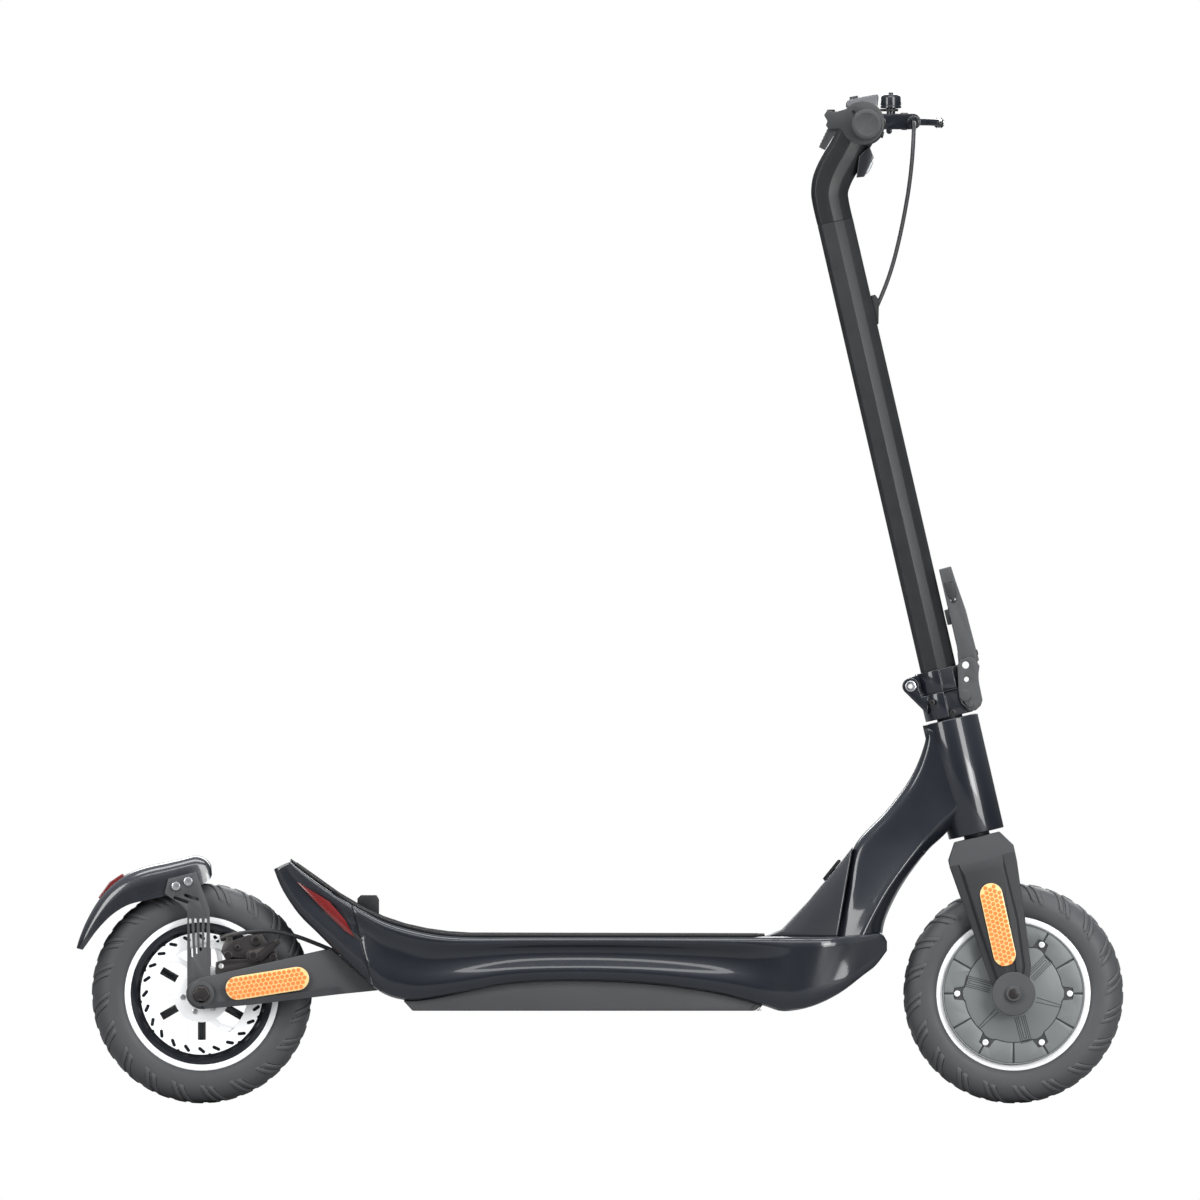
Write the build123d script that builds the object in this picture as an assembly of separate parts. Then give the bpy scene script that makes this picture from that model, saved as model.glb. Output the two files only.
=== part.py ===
from build123d import *
import os
from math import atan2, cos, degrees, hypot, pi, radians, sin

os.makedirs("parts", exist_ok=True)

# Electric kick scooter.  Units: mm.  +X forward, +Y the rider's left, +Z up.
# The origin is on the ground, under the middle of the scooter.

# Wheels
tyre_radius = 127.5
tyre_half_width = 31.0
bead_radius = 86.0
rim_half_width = 24.0
rear_axle_x = -459.5
front_axle_x = 477.0
axle_z = tyre_radius
axle_radius = 6.0
running_gap = 0.05

# Steering axis: it leans back and passes through the front axle.
# Local steering frame: u forward, y to the left, s up along the axis, from the front axle.
steering_tilt = 13.0
head_bottom = 189.3
head_top = 324.8
head_radius = 32.5
steerer_radius = 15.0
bearing_radius = 24.0
collar_radius = 28.0
collar_top = 357.5
flange_bottom = 358.5
flange_top = 384.0
stem_top = 914.0
hinge_u = -35.7
hinge_s = 372.1

# Latch on the front of the fold, in the steering frame
claw_pivot = (23.2, 347.2)
lever_pivot = (31.66, 381.65)
claw_inner = 20.4
claw_outer = 23.9

# Deck
deck_half_width = 92.0
deck_top_z = 193.5
mat_thickness = 3.0
cover_bottom_z = 108.0
bay = (-205.0, 178.0, 72.0, 186.0)

# Rear arms and fork
arm_inner = 48.0
arm_outer = 64.0
fork_inner = 38.0
fork_outer = 54.0
stay_inner = 45.0

# Handlebar
bar_x = 306.5
bar_z = 1128.0
bar_centre_radius = 15.9
bar_middle_radius = 12.7
bar_end_radius = 11.1
clamp_half_width = 26.0
bar_step_y = 98.0
control_inner = 113.0
control_outer = 143.0
grip_end = 270.0
grip_radius = 17.5

# Rear brake
rotor_radius = 70.5
rotor_outer_y = -35.2
rotor_inner_y = -33.0
caliper_pivot = (-400.0, 171.0)
cable_radius = 2.4
cable_y = -40.0

steering = Location(
    Plane(
        origin=(front_axle_x, 0, axle_z),
        x_dir=(cos(radians(steering_tilt)), 0, sin(radians(steering_tilt))),
        z_dir=(-sin(radians(steering_tilt)), 0, cos(radians(steering_tilt))),
    )
)

parts = {}


def side_solid(outline, y_low, y_high):
    """A prism with a side-view outline (x, z) between two values of Y."""
    plane = Plane(origin=(0, y_high, 0), x_dir=(1, 0, 0), z_dir=(0, -1, 0))
    return extrude(plane * outline, amount=y_high - y_low, dir=(0, -1, 0))


def side_polygon(points, y_low, y_high):
    """A prism with a straight-sided side view between two values of Y."""
    return side_solid(Polygon(*points, align=None), y_low, y_high)


def front_polygon(points, x_low, x_high):
    """A prism with a front-view outline (y, z) between two values of X."""
    plane = Plane(origin=(x_low, 0, 0), x_dir=(0, 1, 0), z_dir=(1, 0, 0))
    return extrude(plane * Polygon(*points, align=None), amount=x_high - x_low, dir=(1, 0, 0))


def top_polygon(points, z_low, z_high):
    """A prism with a plan-view outline (x, y) between two values of Z."""
    return extrude(Pos(0, 0, z_low) * Polygon(*points, align=None), amount=z_high - z_low, dir=(0, 0, 1))


def rod_y(x, z, radius, y_low, y_high):
    """A round bar along Y."""
    return Pos(x, (y_low + y_high) / 2, z) * Rot(90, 0, 0) * Cylinder(radius, y_high - y_low)


def rod_between(start, end, radius):
    """A round bar from one point to another."""
    run = Vector(*end) - Vector(*start)
    return extrude(Plane(origin=start, z_dir=run) * Circle(radius), amount=run.length)


def box_between(low, high):
    """A box from its lowest corner to its highest corner."""
    size = [b - a for a, b in zip(low, high)]
    return Pos(*low) * Box(*size, align=(Align.MIN, Align.MIN, Align.MIN))


def pair(solid):
    """A piece on the rider's left and its mirror image on the right, or the other way about."""
    return solid + mirror(solid, about=Plane.XZ)


def slot_face(start, end, radius):
    """A side-view outline with two round ends, between two centres (x, z)."""
    length = hypot(end[0] - start[0], end[1] - start[1])
    angle = degrees(atan2(end[1] - start[1], end[0] - start[0]))
    middle = ((start[0] + end[0]) / 2, (start[1] + end[1]) / 2)
    return Pos(middle[0], middle[1]) * Rot(0, 0, angle) * SlotCenterToCenter(length, 2 * radius)


def spun_about_axle(profile, axle_x):
    """A ring about an axle from a profile whose points are (radius, y)."""
    plane = Plane(origin=(axle_x, 0, axle_z), x_dir=(1, 0, 0), z_dir=(0, 0, 1))
    axis = Axis((axle_x, 0, axle_z), (0, 1, 0))
    return revolve(plane * profile, axis=axis)


def ring_about_axle(r_low, r_high, y_low, y_high, axle_x):
    """A plain ring about an axle."""
    return rod_y(axle_x, axle_z, r_high, y_low, y_high) - rod_y(axle_x, axle_z, r_low, y_low, y_high)


# ---------------------------------------------------------------- deck and tail
# One cast body: a flat foot deck, a tail that kicks up over the rear tyre and a short nose.


def deck_top_curve(rise):
    """The top line of the deck from the tail tip forward, raised by a mat's thickness."""
    points = [(-357, 280), (-300, 239), (-250, 212.5), (-200, 198.5), (-150, deck_top_z)]
    return Spline(*[(x, z + rise) for x, z in points], tangents=[(0.8, -0.6), (1, 0)])


nose_curve = Spline((335, 180), (300, 146), (260, 120), (220, 107), tangents=[(-0.6, -0.75), (-1, -0.05)])
lip_curve = Spline(
    (200, 111), (140, 127.5), (50, 140), (-40, 143.5), (-120, 138), (-200, 121), (-228, 120), (-258, 133)
)
deck_outline = make_face(
    [
        *deck_top_curve(0).edges(),
        Line((-150, deck_top_z), (274, deck_top_z)),
        Line((274, deck_top_z), (324, 198)),
        Line((324, 198), (335, 180)),
        *nose_curve.edges(),
        Line((220, 107), (207, 107)),
        Line((207, 107), (200, 111)),
        *lip_curve.edges(),
        *Polyline((-258, 133), (-311, 180), (-350, 219), (-377, 271), (-357, 280)).edges(),
    ]
)
plan_points = [(-378, 60), (-250, 90), (-150, deck_half_width), (190, deck_half_width), (262, 84), (337, 46)]
plan_outline = plan_points + [(x, -y) for x, y in reversed(plan_points)]
deck_body = side_solid(deck_outline, -deck_half_width, deck_half_width) & top_polygon(plan_outline, 90, 300)
tail_region = side_polygon(
    [(-320, 290), (-320, 248), (-283, 218), (-277, 205), (-262, 137), (-255, 120), (-400, 120), (-400, 330)],
    -100,
    100,
)
battery_bay = box_between((bay[0], -bay[2], 100), (bay[1], bay[2], bay[3]))
deck_frame = deck_body - tail_region - battery_bay
recess_outline = [(-165, 172), (-120, 186), (196, 186), (150, 158), (-110, 160)]
for side in (1, -1):
    face_plane = Plane(origin=(0, side * deck_half_width, 0), x_dir=(1, 0, 0), z_dir=(0, -1, 0))
    recess = extrude(face_plane * Polygon(*recess_outline, align=None), amount=side * 5, taper=45)
    deck_frame -= recess
# Hollows in the nose and in the rear of the deck, open to the battery bay
nose_side = [(170, 132), (170, 186), (300, 186), (318, 178), (290, 152), (255, 130), (225, 119), (200, 124)]
nose_plan = [(160, 78), (255, 70), (322, 38), (322, -38), (255, -70), (160, -78)]
deck_frame -= side_polygon(nose_side, -80, 80) & top_polygon(nose_plan, 100, 200)
deck_frame -= side_polygon([(-190, 150), (-190, 186), (-250, 203), (-268, 196), (-252, 146)], -74, 74)
deck_frame -= box_between((bay[0], -80, 158), (bay[1], 80, bay[3]))
# Lug and pin for the kickstand, under the left edge
stand_lean = 15.0
stand_axis = (0, cos(radians(stand_lean)), sin(radians(stand_lean)))
stand_pivot = Vector(150, 85.2, 115.5)
deck_frame += box_between((140, 80.2, 109), (160, 85.2, 129))
stand_pin_start = stand_pivot - Vector(*stand_axis) * 3.5
stand_pin_end = stand_pivot + Vector(*stand_axis) * 12
deck_frame += rod_between(tuple(stand_pin_start), tuple(stand_pin_end), 4)
parts["deck_frame"] = deck_frame

tail_cover = deck_body & tail_region
tail_hollow = [(-340, 254), (-290, 214), (-270, 180), (-266, 150), (-300, 182), (-336, 222)]
tail_cover -= side_polygon(tail_hollow, -52, 52)
for y in (-1, 1):
    for lift in range(3):
        start = (-343 + 14 * lift, 222 - 2 * lift)
        end = (-283 + 4 * lift, 163 + 12 * lift)
        groove = side_solid(slot_face(start, end, 1.5), 55, 120)
        tail_cover -= groove if y > 0 else mirror(groove, about=Plane.XZ)

# Red side lights let into the flanks of the tail
light_face = Polygon((-350, 257), (-312, 234), (-294, 213), (-283, 193), (-294, 200), (-330, 236), align=None)
light_block = side_solid(light_face, -100, 100)
flank = deck_body & light_block
light_core = top_polygon([(x, y * (1 - 3 / abs(y))) for x, y in plan_outline], 90, 300)
tail_lights = flank - light_core
parts["tail_lights"] = tail_lights
parts["tail_cover"] = tail_cover - tail_lights

mat_outline = make_face(
    [
        *deck_top_curve(0).edges(),
        Line((-150, deck_top_z), (190, deck_top_z)),
        Line((190, deck_top_z), (190, deck_top_z + mat_thickness)),
        Line((190, deck_top_z + mat_thickness), (-150, deck_top_z + mat_thickness)),
        *deck_top_curve(mat_thickness).edges(),
        Line((-357, 280 + mat_thickness), (-357, 280)),
    ]
)
mat_plan = [(-360, 55), (-250, 82), (-150, 84), (176, 84), (191, 70)]
mat_plan = mat_plan + [(x, -y) for x, y in reversed(mat_plan)]
deck_mat = side_solid(mat_outline, -90, 90) & top_polygon(mat_plan, 150, 300)

# Catch block on the tail: the folded stem hooks into it
catch_points = [(-280, 215), (-280, 237), (-276, 241), (-258, 241), (-255, 236), (-255, 205)]
catch_block = side_polygon(catch_points, -13, 13)
catch_block -= deck_body
catch_block -= box_between((-267, -7, 230), (-250, 7, 245))
for z in (226, 232):
    catch_block -= box_between((-281, -8, z - 0.8), (-273, 8, z + 0.8))
catch_foot = side_polygon([(-284, 200), (-284, 240), (-251, 240), (-251, 200)], -16, 16)
parts["fold_catch"] = catch_block
parts["deck_mat"] = deck_mat - catch_foot

# Tray under the deck that closes the battery bay
cover_outline = [
    (-228, 121),
    (-216, cover_bottom_z),
    (178, cover_bottom_z),
    (190, 116),
    (190, 150),
    (-228, 150),
]
battery_cover = side_polygon(cover_outline, -80, 80) - deck_body
battery_cover -= box_between((bay[0], -bay[2], cover_bottom_z + 3), (bay[1] - 4, bay[2], 200))
parts["battery_cover"] = battery_cover
parts["battery_pack"] = box_between((-198, -66, 112), (108, 66, 176))
controller = box_between((116, -52, 114), (168, 52, 160))
for index in range(7):
    fin_x = 118 + 8 * index
    controller += box_between((fin_x, -52, 160), (fin_x + 3, 52, 170))
parts["motor_controller"] = controller

# ---------------------------------------------------------------- down tube and front cover
tube_width = [(60, 190), (44, 258), (31, 312), (26, 445)]
tube_width = tube_width + [(-y, z) for y, z in reversed(tube_width)]
tube_core_width = [(54, 196), (38, 258), (25, 312), (20, 445)]
tube_core_width = tube_core_width + [(-y, z) for y, z in reversed(tube_core_width)]
tube_side = [
    (274, deck_top_z),
    (292, 297),
    (330, 339),
    (360, 380),
    (376, 420),
    (373.5, 436),
    (404, 443),
    (436, 304),
    (398, 309),
    (370, 284),
    (321, 208),
    (324, 198),
]
tube_core = [(284, 200), (300, 296), (336, 336), (366, 377), (383, 418), (398, 340), (364, 290), (312, 204)]
head_axis_bar = steering * Pos(0, 0, (head_bottom + head_top) / 2) * Cylinder(head_radius, 200)
down_tube = side_polygon(tube_side, -70, 70) & front_polygon(tube_width, 200, 500)
down_tube -= side_polygon(tube_core, -70, 70) & front_polygon(tube_core_width, 200, 500)
down_tube -= head_axis_bar
down_tube -= steering * Pos(0, 0, head_bottom - 35) * Cylinder(52, 70)
parts["down_tube"] = down_tube.solids().sort_by(SortBy.VOLUME)[-1]

cover_side = [(192, deck_top_z), (210, 201), (240, 233), (280, 281), (292, 297), (274, deck_top_z)]
foot_cover = side_polygon(cover_side, -70, 70) & front_polygon(tube_width, 180, 300)
foot_cover -= side_polygon([(226, 190), (246, 229), (262, 246), (276, 246), (266, 190)], -40, 40)
port_slope = degrees(atan2(20, 16))
port_place = Pos(269, 0, 268) * Rot(0, -port_slope, 0)
foot_cover -= port_place * Cylinder(6, 24, align=(Align.CENTER, Align.CENTER, Align.MAX))
foot_cover -= port_place * Pos(0, 0, 5) * Box(29, 23, 10)
parts["foot_cover"] = foot_cover
flap_plate = Pos(0, 0, 0.3) * Box(28, 22, 4, align=(Align.CENTER, Align.CENTER, Align.MIN))
flap_boss = Pos(0, 0, -1.7) * Cylinder(4.5, 2.2, align=(Align.CENTER, Align.CENTER, Align.MIN))
flap_knuckle = rod_y(14, 2, 1.6, -8, 8)
parts["charge_flap"] = port_place * (fillet(flap_plate.edges().filter_by(Axis.Z), 4) + flap_boss + flap_knuckle)

# ---------------------------------------------------------------- head tube and bearings
head_height = head_top - head_bottom
upward = (Align.CENTER, Align.CENTER, Align.MIN)
head_tube = Pos(0, 0, head_bottom) * Cylinder(head_radius, head_height, align=upward)
head_tube -= Pos(0, 0, head_bottom) * Cylinder(19, head_height, align=upward)
bearing_depth = 9.0
bearings = Part()
for start in (head_bottom, head_top - bearing_depth):
    seat = Pos(0, 0, start + bearing_depth / 2) * Cylinder(bearing_radius, bearing_depth)
    head_tube -= seat
    hole = Pos(0, 0, start + bearing_depth / 2) * Cylinder(steerer_radius + running_gap, bearing_depth)
    bearings += seat - hole
parts["head_tube"] = steering * head_tube
parts["headset_bearings"] = steering * bearings

# ---------------------------------------------------------------- rear arms, axle, fender
arm_points = [
    (-463, 145.2),
    (-340, 173),
    (-285, 185),
    (-240, 190),
    (-240, 133),
    (-300, 127),
    (-400, 115),
    (-457, 110),
]
arm_face = Polygon(*arm_points, align=None) + Pos(rear_axle_x, axle_z) * Circle(17.7)
arm_inner_plane = Plane(origin=(0, -(arm_outer - 5), 0), x_dir=(1, 0, 0), z_dir=(0, -1, 0))
arm = side_solid(arm_face, -(arm_outer - 5), -arm_inner)
arm += extrude(arm_inner_plane * arm_face, amount=5, taper=45)
arm -= deck_body
arm -= rod_y(rear_axle_x, axle_z, axle_radius, -arm_outer, -arm_inner)
arm = arm.solids().sort_by(SortBy.VOLUME)[-1]
parts["rear_arms"] = pair(arm)
arm_reflector = side_solid(slot_face((-418, 134), (-349, 145), 13.6), -arm_outer - 3, -arm_outer)
parts["arm_reflectors"] = pair(arm_reflector)

rear_axle = rod_y(rear_axle_x, axle_z, axle_radius, -71, 71)
for y_low in (-stay_inner, 34.6):
    rear_axle += rod_y(rear_axle_x, axle_z, 9.5, y_low, y_low + stay_inner - 34.6)
parts["rear_axle"] = rear_axle


def axle_nut(axle_x, y_start):
    """Flanged hexagon nut on the right-hand end of an axle."""
    face = Plane(origin=(axle_x, y_start, axle_z), x_dir=(1, 0, 0), z_dir=(0, -1, 0))
    nut = extrude(face * Circle(10.5), amount=1.6)
    nut += extrude(face * RegularPolygon(9.2, 6), amount=6.5)
    return nut - rod_y(axle_x, axle_z, axle_radius, y_start - 10, y_start + 1)


parts["rear_axle_nuts"] = pair(axle_nut(rear_axle_x, -arm_outer))

fender_outer = Spline(
    (-605, 180), (-590, 216), (-552, 262), (-500, 279.5), (-466, 287), tangents=[(0.2, 1), (1, 0.15)]
)
fender_inner = Spline((-460, 252), (-500, 240), (-545, 229), (-582, 200), (-597, 178))
fender_face = make_face(
    [
        *fender_outer.edges(),
        *Polyline((-466, 287), (-449, 277), (-448, 264), (-460, 252)).edges(),
        *fender_inner.edges(),
        Line((-597, 178), (-605, 180)),
    ]
)
fender = side_solid(fender_face, -stay_inner, stay_inner) - rod_y(rear_axle_x, axle_z, 137, -38, 38)
lamp_points = [(-579, 238), (-566, 256), (-551, 266), (-545, 257), (-558, 246), (-568, 232)]
tail_lamp = side_polygon(lamp_points, -24, 24)
fender -= tail_lamp
stay_points = [
    (-476, 127.5),
    (-476, 222),
    (-486, 232),
    (-502, 243),
    (-498, 260),
    (-466, 268),
    (-450, 224),
    (-449, 127.5),
]
stay_face = Polygon(*stay_points, align=None) + Pos(rear_axle_x - 1.5, axle_z) * Circle(15.5)
stay = side_solid(stay_face, -arm_inner, -stay_inner)
for index in range(4):
    foot_x = -470.5 + 5 * index
    top_x = -472.5 + 6 * index
    stay -= side_solid(slot_face((foot_x, 170 + 4 * index), (top_x, 213), 1.3), -50, -40)
for start in ((-490, 238), (-478, 241)):
    stay -= side_solid(slot_face(start, (start[0] + 14, start[1] - 5), 1.8), -50, -40)
stay -= rod_y(rear_axle_x, axle_z, axle_radius, -50, -40)
screw_places = [(-489, 251.5), (-475, 257)]
screws = Part()
for x, z in screw_places:
    screws += rod_y(x, z, 5, -arm_inner - 3, -arm_inner)
    screws += rod_y(x, z, 2.5, -arm_inner, -40)
    stay -= rod_y(x, z, 2.5, -50, -40)
    fender -= rod_y(x, z, 2.5, -50, -40)
    fender -= rod_y(x, z, 2.5, 40, 50)
parts["fender"] = fender
parts["tail_lamp"] = tail_lamp
parts["fender_stays"] = pair(stay)
parts["fender_screws"] = pair(screws)

# ---------------------------------------------------------------- rear brake
caliper_points = [
    (-430, 164),
    (-437, 176),
    (-434, 186),
    (-420, 190),
    (-406, 195),
    (-390, 196),
    (-383, 186),
    (-372, 178),
    (-372, 165),
]
caliper = side_polygon(caliper_points, -46, -32.9)
caliper += side_polygon(caliper_points, -33, -27) & rod_y(rear_axle_x, axle_z, 80, -34, -26)
caliper -= rod_y(rear_axle_x, axle_z, rotor_radius + 2, rotor_outer_y - 1.2, rotor_inner_y + 1.2)
bracket_points = [(-444, 151), (-443, 164), (-432, 167), (-372, 168), (-370, 160), (-400, 150), (-420, 140)]
caliper += side_polygon(bracket_points, -48, -45.5)
caliper -= rod_y(-437, 159.5, 3, -50, -40)
caliper += rod_y(-429, 172, 4.5, -49, -45)
caliper += rod_y(-377, 170, 4.5, -48, -45)
caliper += rod_y(*caliper_pivot, 3, -53, -45)
caliper += rod_between((-438, cable_y, 191), (-418, cable_y, 196.6), 3.6)
caliper += box_between((-431, -44, 184), (-424, -36, 193))
caliper -= rod_between((-440, cable_y, 190.4), (-410, cable_y, 198.8), 1.2)
parts["caliper_body"] = caliper
arm_ring = rod_y(*caliper_pivot, 8, -52.2, -48.4)
arm_blade = side_polygon([(-406, 167), (-404, 178), (-372, 190), (-368, 186), (-390, 165)], -52.2, -48.4)
arm_clamp = rod_y(-371.5, 187, 3.4, -54, -48.4)
caliper_arm = arm_ring + arm_blade + arm_clamp - rod_y(*caliper_pivot, 3 + running_gap, -55, -46)
parts["caliper_arm"] = caliper_arm

rear_cable_route = [
    (-306, cable_y, 177),
    (-330, cable_y, 186.5),
    (-356, cable_y, 196),
    (-388, cable_y, 201.5),
    (-417, cable_y, 196.8),
]


def cord_radii(route):
    """Bend radii: as large as the two runs beside each corner allow."""
    radii = []
    for before, corner, after in zip(route, route[1:], route[2:]):
        first = Vector(*corner) - Vector(*before)
        second = Vector(*after) - Vector(*corner)
        half_turn = radians(first.get_angle(second)) / 2
        radii.append(0.45 * min(first.length, second.length) * cos(half_turn) / sin(half_turn))
    print("bend radii", [round(radius, 1) for radius in radii])
    return radii


def cord(route, radius):
    """A tube of straight runs joined by tangent arcs."""
    path = FilletPolyline(*route, radius=cord_radii(route))
    section = Plane(origin=path @ 0, z_dir=path % 0) * Circle(radius)
    solid = sweep(section, path=path)
    print("tube volume ratio", round(solid.volume / (path.length * pi * radius**2), 4))
    return solid


rear_cable = cord(rear_cable_route, cable_radius) - deck_body
wire = rod_between((-440, cable_y, 190.4), (-476, cable_y, 179), 0.9)
parts["brake_cable_rear"] = rear_cable + wire

# ---------------------------------------------------------------- tyres and wheels
tyre_points = [(bead_radius, 24), (93, 29), (106, tyre_half_width), (119, 25.5), (125.6, 14), (tyre_radius, 0)]
tyre_far = [(r, -y) for r, y in reversed(tyre_points[:-1])]
tyre_face = make_face([*Spline(*tyre_points, *tyre_far).edges(), Line((bead_radius, -24), (bead_radius, 24))])
tyre_hollow = Pos(105, 0) * Ellipse(15, 22)
for name, axle_x in (("rear_tyre", rear_axle_x), ("front_tyre", front_axle_x)):
    parts[name] = spun_about_axle(tyre_face - tyre_hollow, axle_x)

rim_half = [(bead_radius, 24), (74, 24), (74, 19), (79, 12)]
rim_profile = Polygon(*rim_half, *[(r, -y) for r, y in reversed(rim_half)], align=None)
rear_rim = spun_about_axle(rim_profile, rear_axle_x)
rear_rim += ring_about_axle(14, 33, -33, 30, rear_axle_x)
for index in range(6):
    spoke = Pos(rear_axle_x, 0, axle_z) * Rot(0, 60 * index, 0) * Pos(0, 0, 55) * Box(9, 16, 50)
    rear_rim += spoke
rear_rim -= rod_y(rear_axle_x, axle_z, 14, -40, 40)
parts["rear_rim"] = rear_rim
rear_bearings = ring_about_axle(axle_radius + running_gap, 14, -33, -23, rear_axle_x)
rear_bearings += ring_about_axle(axle_radius + running_gap, 14, 20, 30, rear_axle_x)
parts["rear_bearings"] = rear_bearings

rotor = ring_about_axle(11, rotor_radius, rotor_outer_y, rotor_inner_y, rear_axle_x)
for index in range(12):
    place = Pos(rear_axle_x, 0, axle_z) * Rot(0, 30 * index + 15, 0)
    rotor -= place * Pos(0, 0, rotor_radius + 9) * Rot(90, 0, 0) * Cylinder(11, 100)
    rotor -= place * Pos(0, 0, 63) * Rot(90, 0, 0) * Cylinder(2, 100)
    rotor -= place * Rot(0, 11, 0) * Pos(0, 0, 65.5) * Rot(90, 0, 0) * Cylinder(1.7, 100)
for index in range(6):
    window = [(-8, 38), (8, 38), (16, 55), (-16, 55)]
    cut = side_solid(fillet(Polygon(*window, align=None).vertices(), 3), -45, -25)
    rotor -= Pos(rear_axle_x, 0, axle_z) * Rot(0, 60 * index + 30, 0) * cut
parts["brake_rotor"] = rotor

stator = ring_about_axle(axle_radius, 66, -17, 17, front_axle_x)
for index in range(18):
    slot = Pos(front_axle_x, 0, axle_z) * Rot(0, 20 * index, 0) * Pos(0, 0, 54) * Box(5, 40, 16)
    stator -= slot
parts["motor_stator"] = stator
shell_profile = Polygon((bead_radius, -24), (bead_radius, 24), (70, 24), (70, -24), align=None)
parts["motor_shell"] = spun_about_axle(shell_profile, front_axle_x)
cover_inner = axle_radius + running_gap
cover_profile = Polygon(
    (cover_inner, -24),
    (82, -24),
    (82, -28),
    (79, -30),
    (30, -32),
    (26, -33),
    (20, -33),
    (20, -31),
    (cover_inner, -31),
    align=None,
)
motor_cover = spun_about_axle(cover_profile, front_axle_x)
motor_screws = Part()
for index in range(6):
    turn = radians(60 * index)
    x = front_axle_x + 65 * cos(turn)
    z = axle_z + 65 * sin(turn)
    motor_cover -= rod_y(x, z, 2, -40, -20)
    motor_cover -= rod_y(x, z, 3.6, -40, -29.4)
    motor_screws += rod_y(x, z, 3.5, -31.4, -29.4)
    motor_screws += rod_y(x, z, 2, -29.4, -24)
parts["motor_covers"] = pair(motor_cover)
parts["motor_screws"] = pair(motor_screws)

# ---------------------------------------------------------------- fork and front axle
fork_points = [
    (409, 302),
    (461, 314.3),
    (477, 299),
    (481, 280),
    (490, 215),
    (497, 160),
    (492, 115),
    (460, 115),
    (430, 200),
    (404, 272),
    (402, 281),
]
fork_face = Polygon(*fork_points, align=None) + Pos(front_axle_x, axle_z) * Circle(25)
fork = side_solid(fork_face, -(fork_outer - 5), fork_outer - 5)
fork_pad_points = [
    (417, 290),
    (456, 299),
    (465, 284),
    (482, 215),
    (490, 160),
    (485, 116),
    (466, 117),
    (438, 200),
    (414, 276),
]
fork_pad_face = Polygon(*fork_pad_points, align=None) + Pos(front_axle_x, axle_z) * Circle(17)
fork_pad = side_solid(fork_pad_face, -fork_outer, -(fork_outer - 5))
fork_pad = chamfer(fork_pad.faces().sort_by(Axis.Y)[0].edges(), 3)
fork += pair(fork_pad)
fork_width = [(30, 187.5), (36, 178), (50, 158), (56, 140), (56, -40)]
fork_width = fork_width + [(-y, s) for y, s in reversed(fork_width)]
fork &= steering * front_polygon(fork_width, -90, 90)
fork -= rod_y(front_axle_x, axle_z, 134, -fork_inner, fork_inner)
fork -= rod_y(front_axle_x, axle_z, axle_radius, -60, 60)
steerer_bottom = 184.0
steerer_end = 352.0
fork += steering * Pos(0, 0, steerer_bottom) * Cylinder(
    steerer_radius, steerer_end - steerer_bottom, align=(Align.CENTER, Align.CENTER, Align.MIN)
)
parts["fork"] = fork
fork_reflector = side_solid(slot_face((451, 242), (466.5, 172.5), 13), -fork_outer - 3, -fork_outer)
parts["fork_reflectors"] = pair(fork_reflector)
front_axle = rod_y(front_axle_x, axle_z, axle_radius, -62, 62)
for y_low in (-fork_inner, 33.6):
    front_axle += rod_y(front_axle_x, axle_z, 10, y_low, y_low + fork_inner - 33.6)
parts["front_axle"] = front_axle
parts["front_axle_nuts"] = pair(axle_nut(front_axle_x, -fork_outer))

# ---------------------------------------------------------------- fold: collar, flange, pin, latch
hinge_ear = (14.2, 22.0)
collar_height = collar_top - 327.5
collar = Pos(0, 0, 327.5) * Cylinder(collar_radius, collar_height, align=upward)
collar -= box_between((0, 20, 320), (40, 40, 360)) + box_between((0, -40, 320), (40, -20, 360))
ear_face = Polygon((-24, 336), (-18, 357), (-25.8, 357), (-27.5, 368), (hinge_u - 8, hinge_s - 5), align=None)
ear_face += Pos(hinge_u, hinge_s) * Circle(9.5)
collar += pair(side_solid(ear_face, -hinge_ear[1], -hinge_ear[0]))
claw_boss_face = Pos(*claw_pivot) * Circle(8)
claw_boss_face += Polygon((10, 329), (26, 329), (31, 350), (10, 356), align=None)
collar += side_solid(claw_boss_face, -20, 20)
collar -= Cylinder(steerer_radius, steerer_end, align=(Align.CENTER, Align.CENTER, Align.MIN))
collar -= rod_y(hinge_u, hinge_s, 4.2, -30, 30)
collar -= rod_y(*claw_pivot, 4 + running_gap, -30, 30)
parts["hinge_collar"] = steering * collar
hinge_pin = rod_y(hinge_u, hinge_s, 4.2, -22, 22) - rod_y(hinge_u, hinge_s, 2.6, -22, 22)
parts["hinge_pin"] = steering * hinge_pin

flange = Pos(0, 0, flange_bottom) * Cylinder(
    collar_radius, flange_top - flange_bottom, align=(Align.CENTER, Align.CENTER, Align.MIN)
)
flange -= box_between((0, 20, 350), (40, 40, 390)) + box_between((0, -40, 350), (40, -20, 390))
flange -= box_between((16, 13, 350), (40, 40, 390)) + box_between((16, -40, 350), (40, -13, 390))
flange -= box_between((24.1, -20, 350), (40, 20, 390))
nose_points = [(10, 359), (24.5, 359), (24.5, 369.5), (29.2, 372), (29.2, 373.7), (24.1, 384), (10, 384)]
flange += side_polygon(nose_points, -13, 13)
knuckle = Polygon((hinge_u, hinge_s - 9.5), (-16, 358.5), (-16, 384), (hinge_u, hinge_s + 9.5), align=None)
knuckle += Pos(hinge_u, hinge_s) * Circle(9.5)
flange += side_solid(knuckle, -13.9, 13.9)
flange -= rod_y(hinge_u, hinge_s, 4.2 + running_gap, -30, 30)
stem_half = [(-20.75, 14), (-16, 19.5), (-1, 20.3), (10, 15.5), (20.75, 7)]
stem_section = Polygon(*stem_half, *[(u, -y) for u, y in reversed(stem_half)], align=None)
stem_core = offset(stem_section, amount=-3)
flange += extrude(Pos(0, 0, flange_top) * stem_core, amount=24, dir=(0, 0, 1))
parts["stem_flange"] = steering * flange
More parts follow.
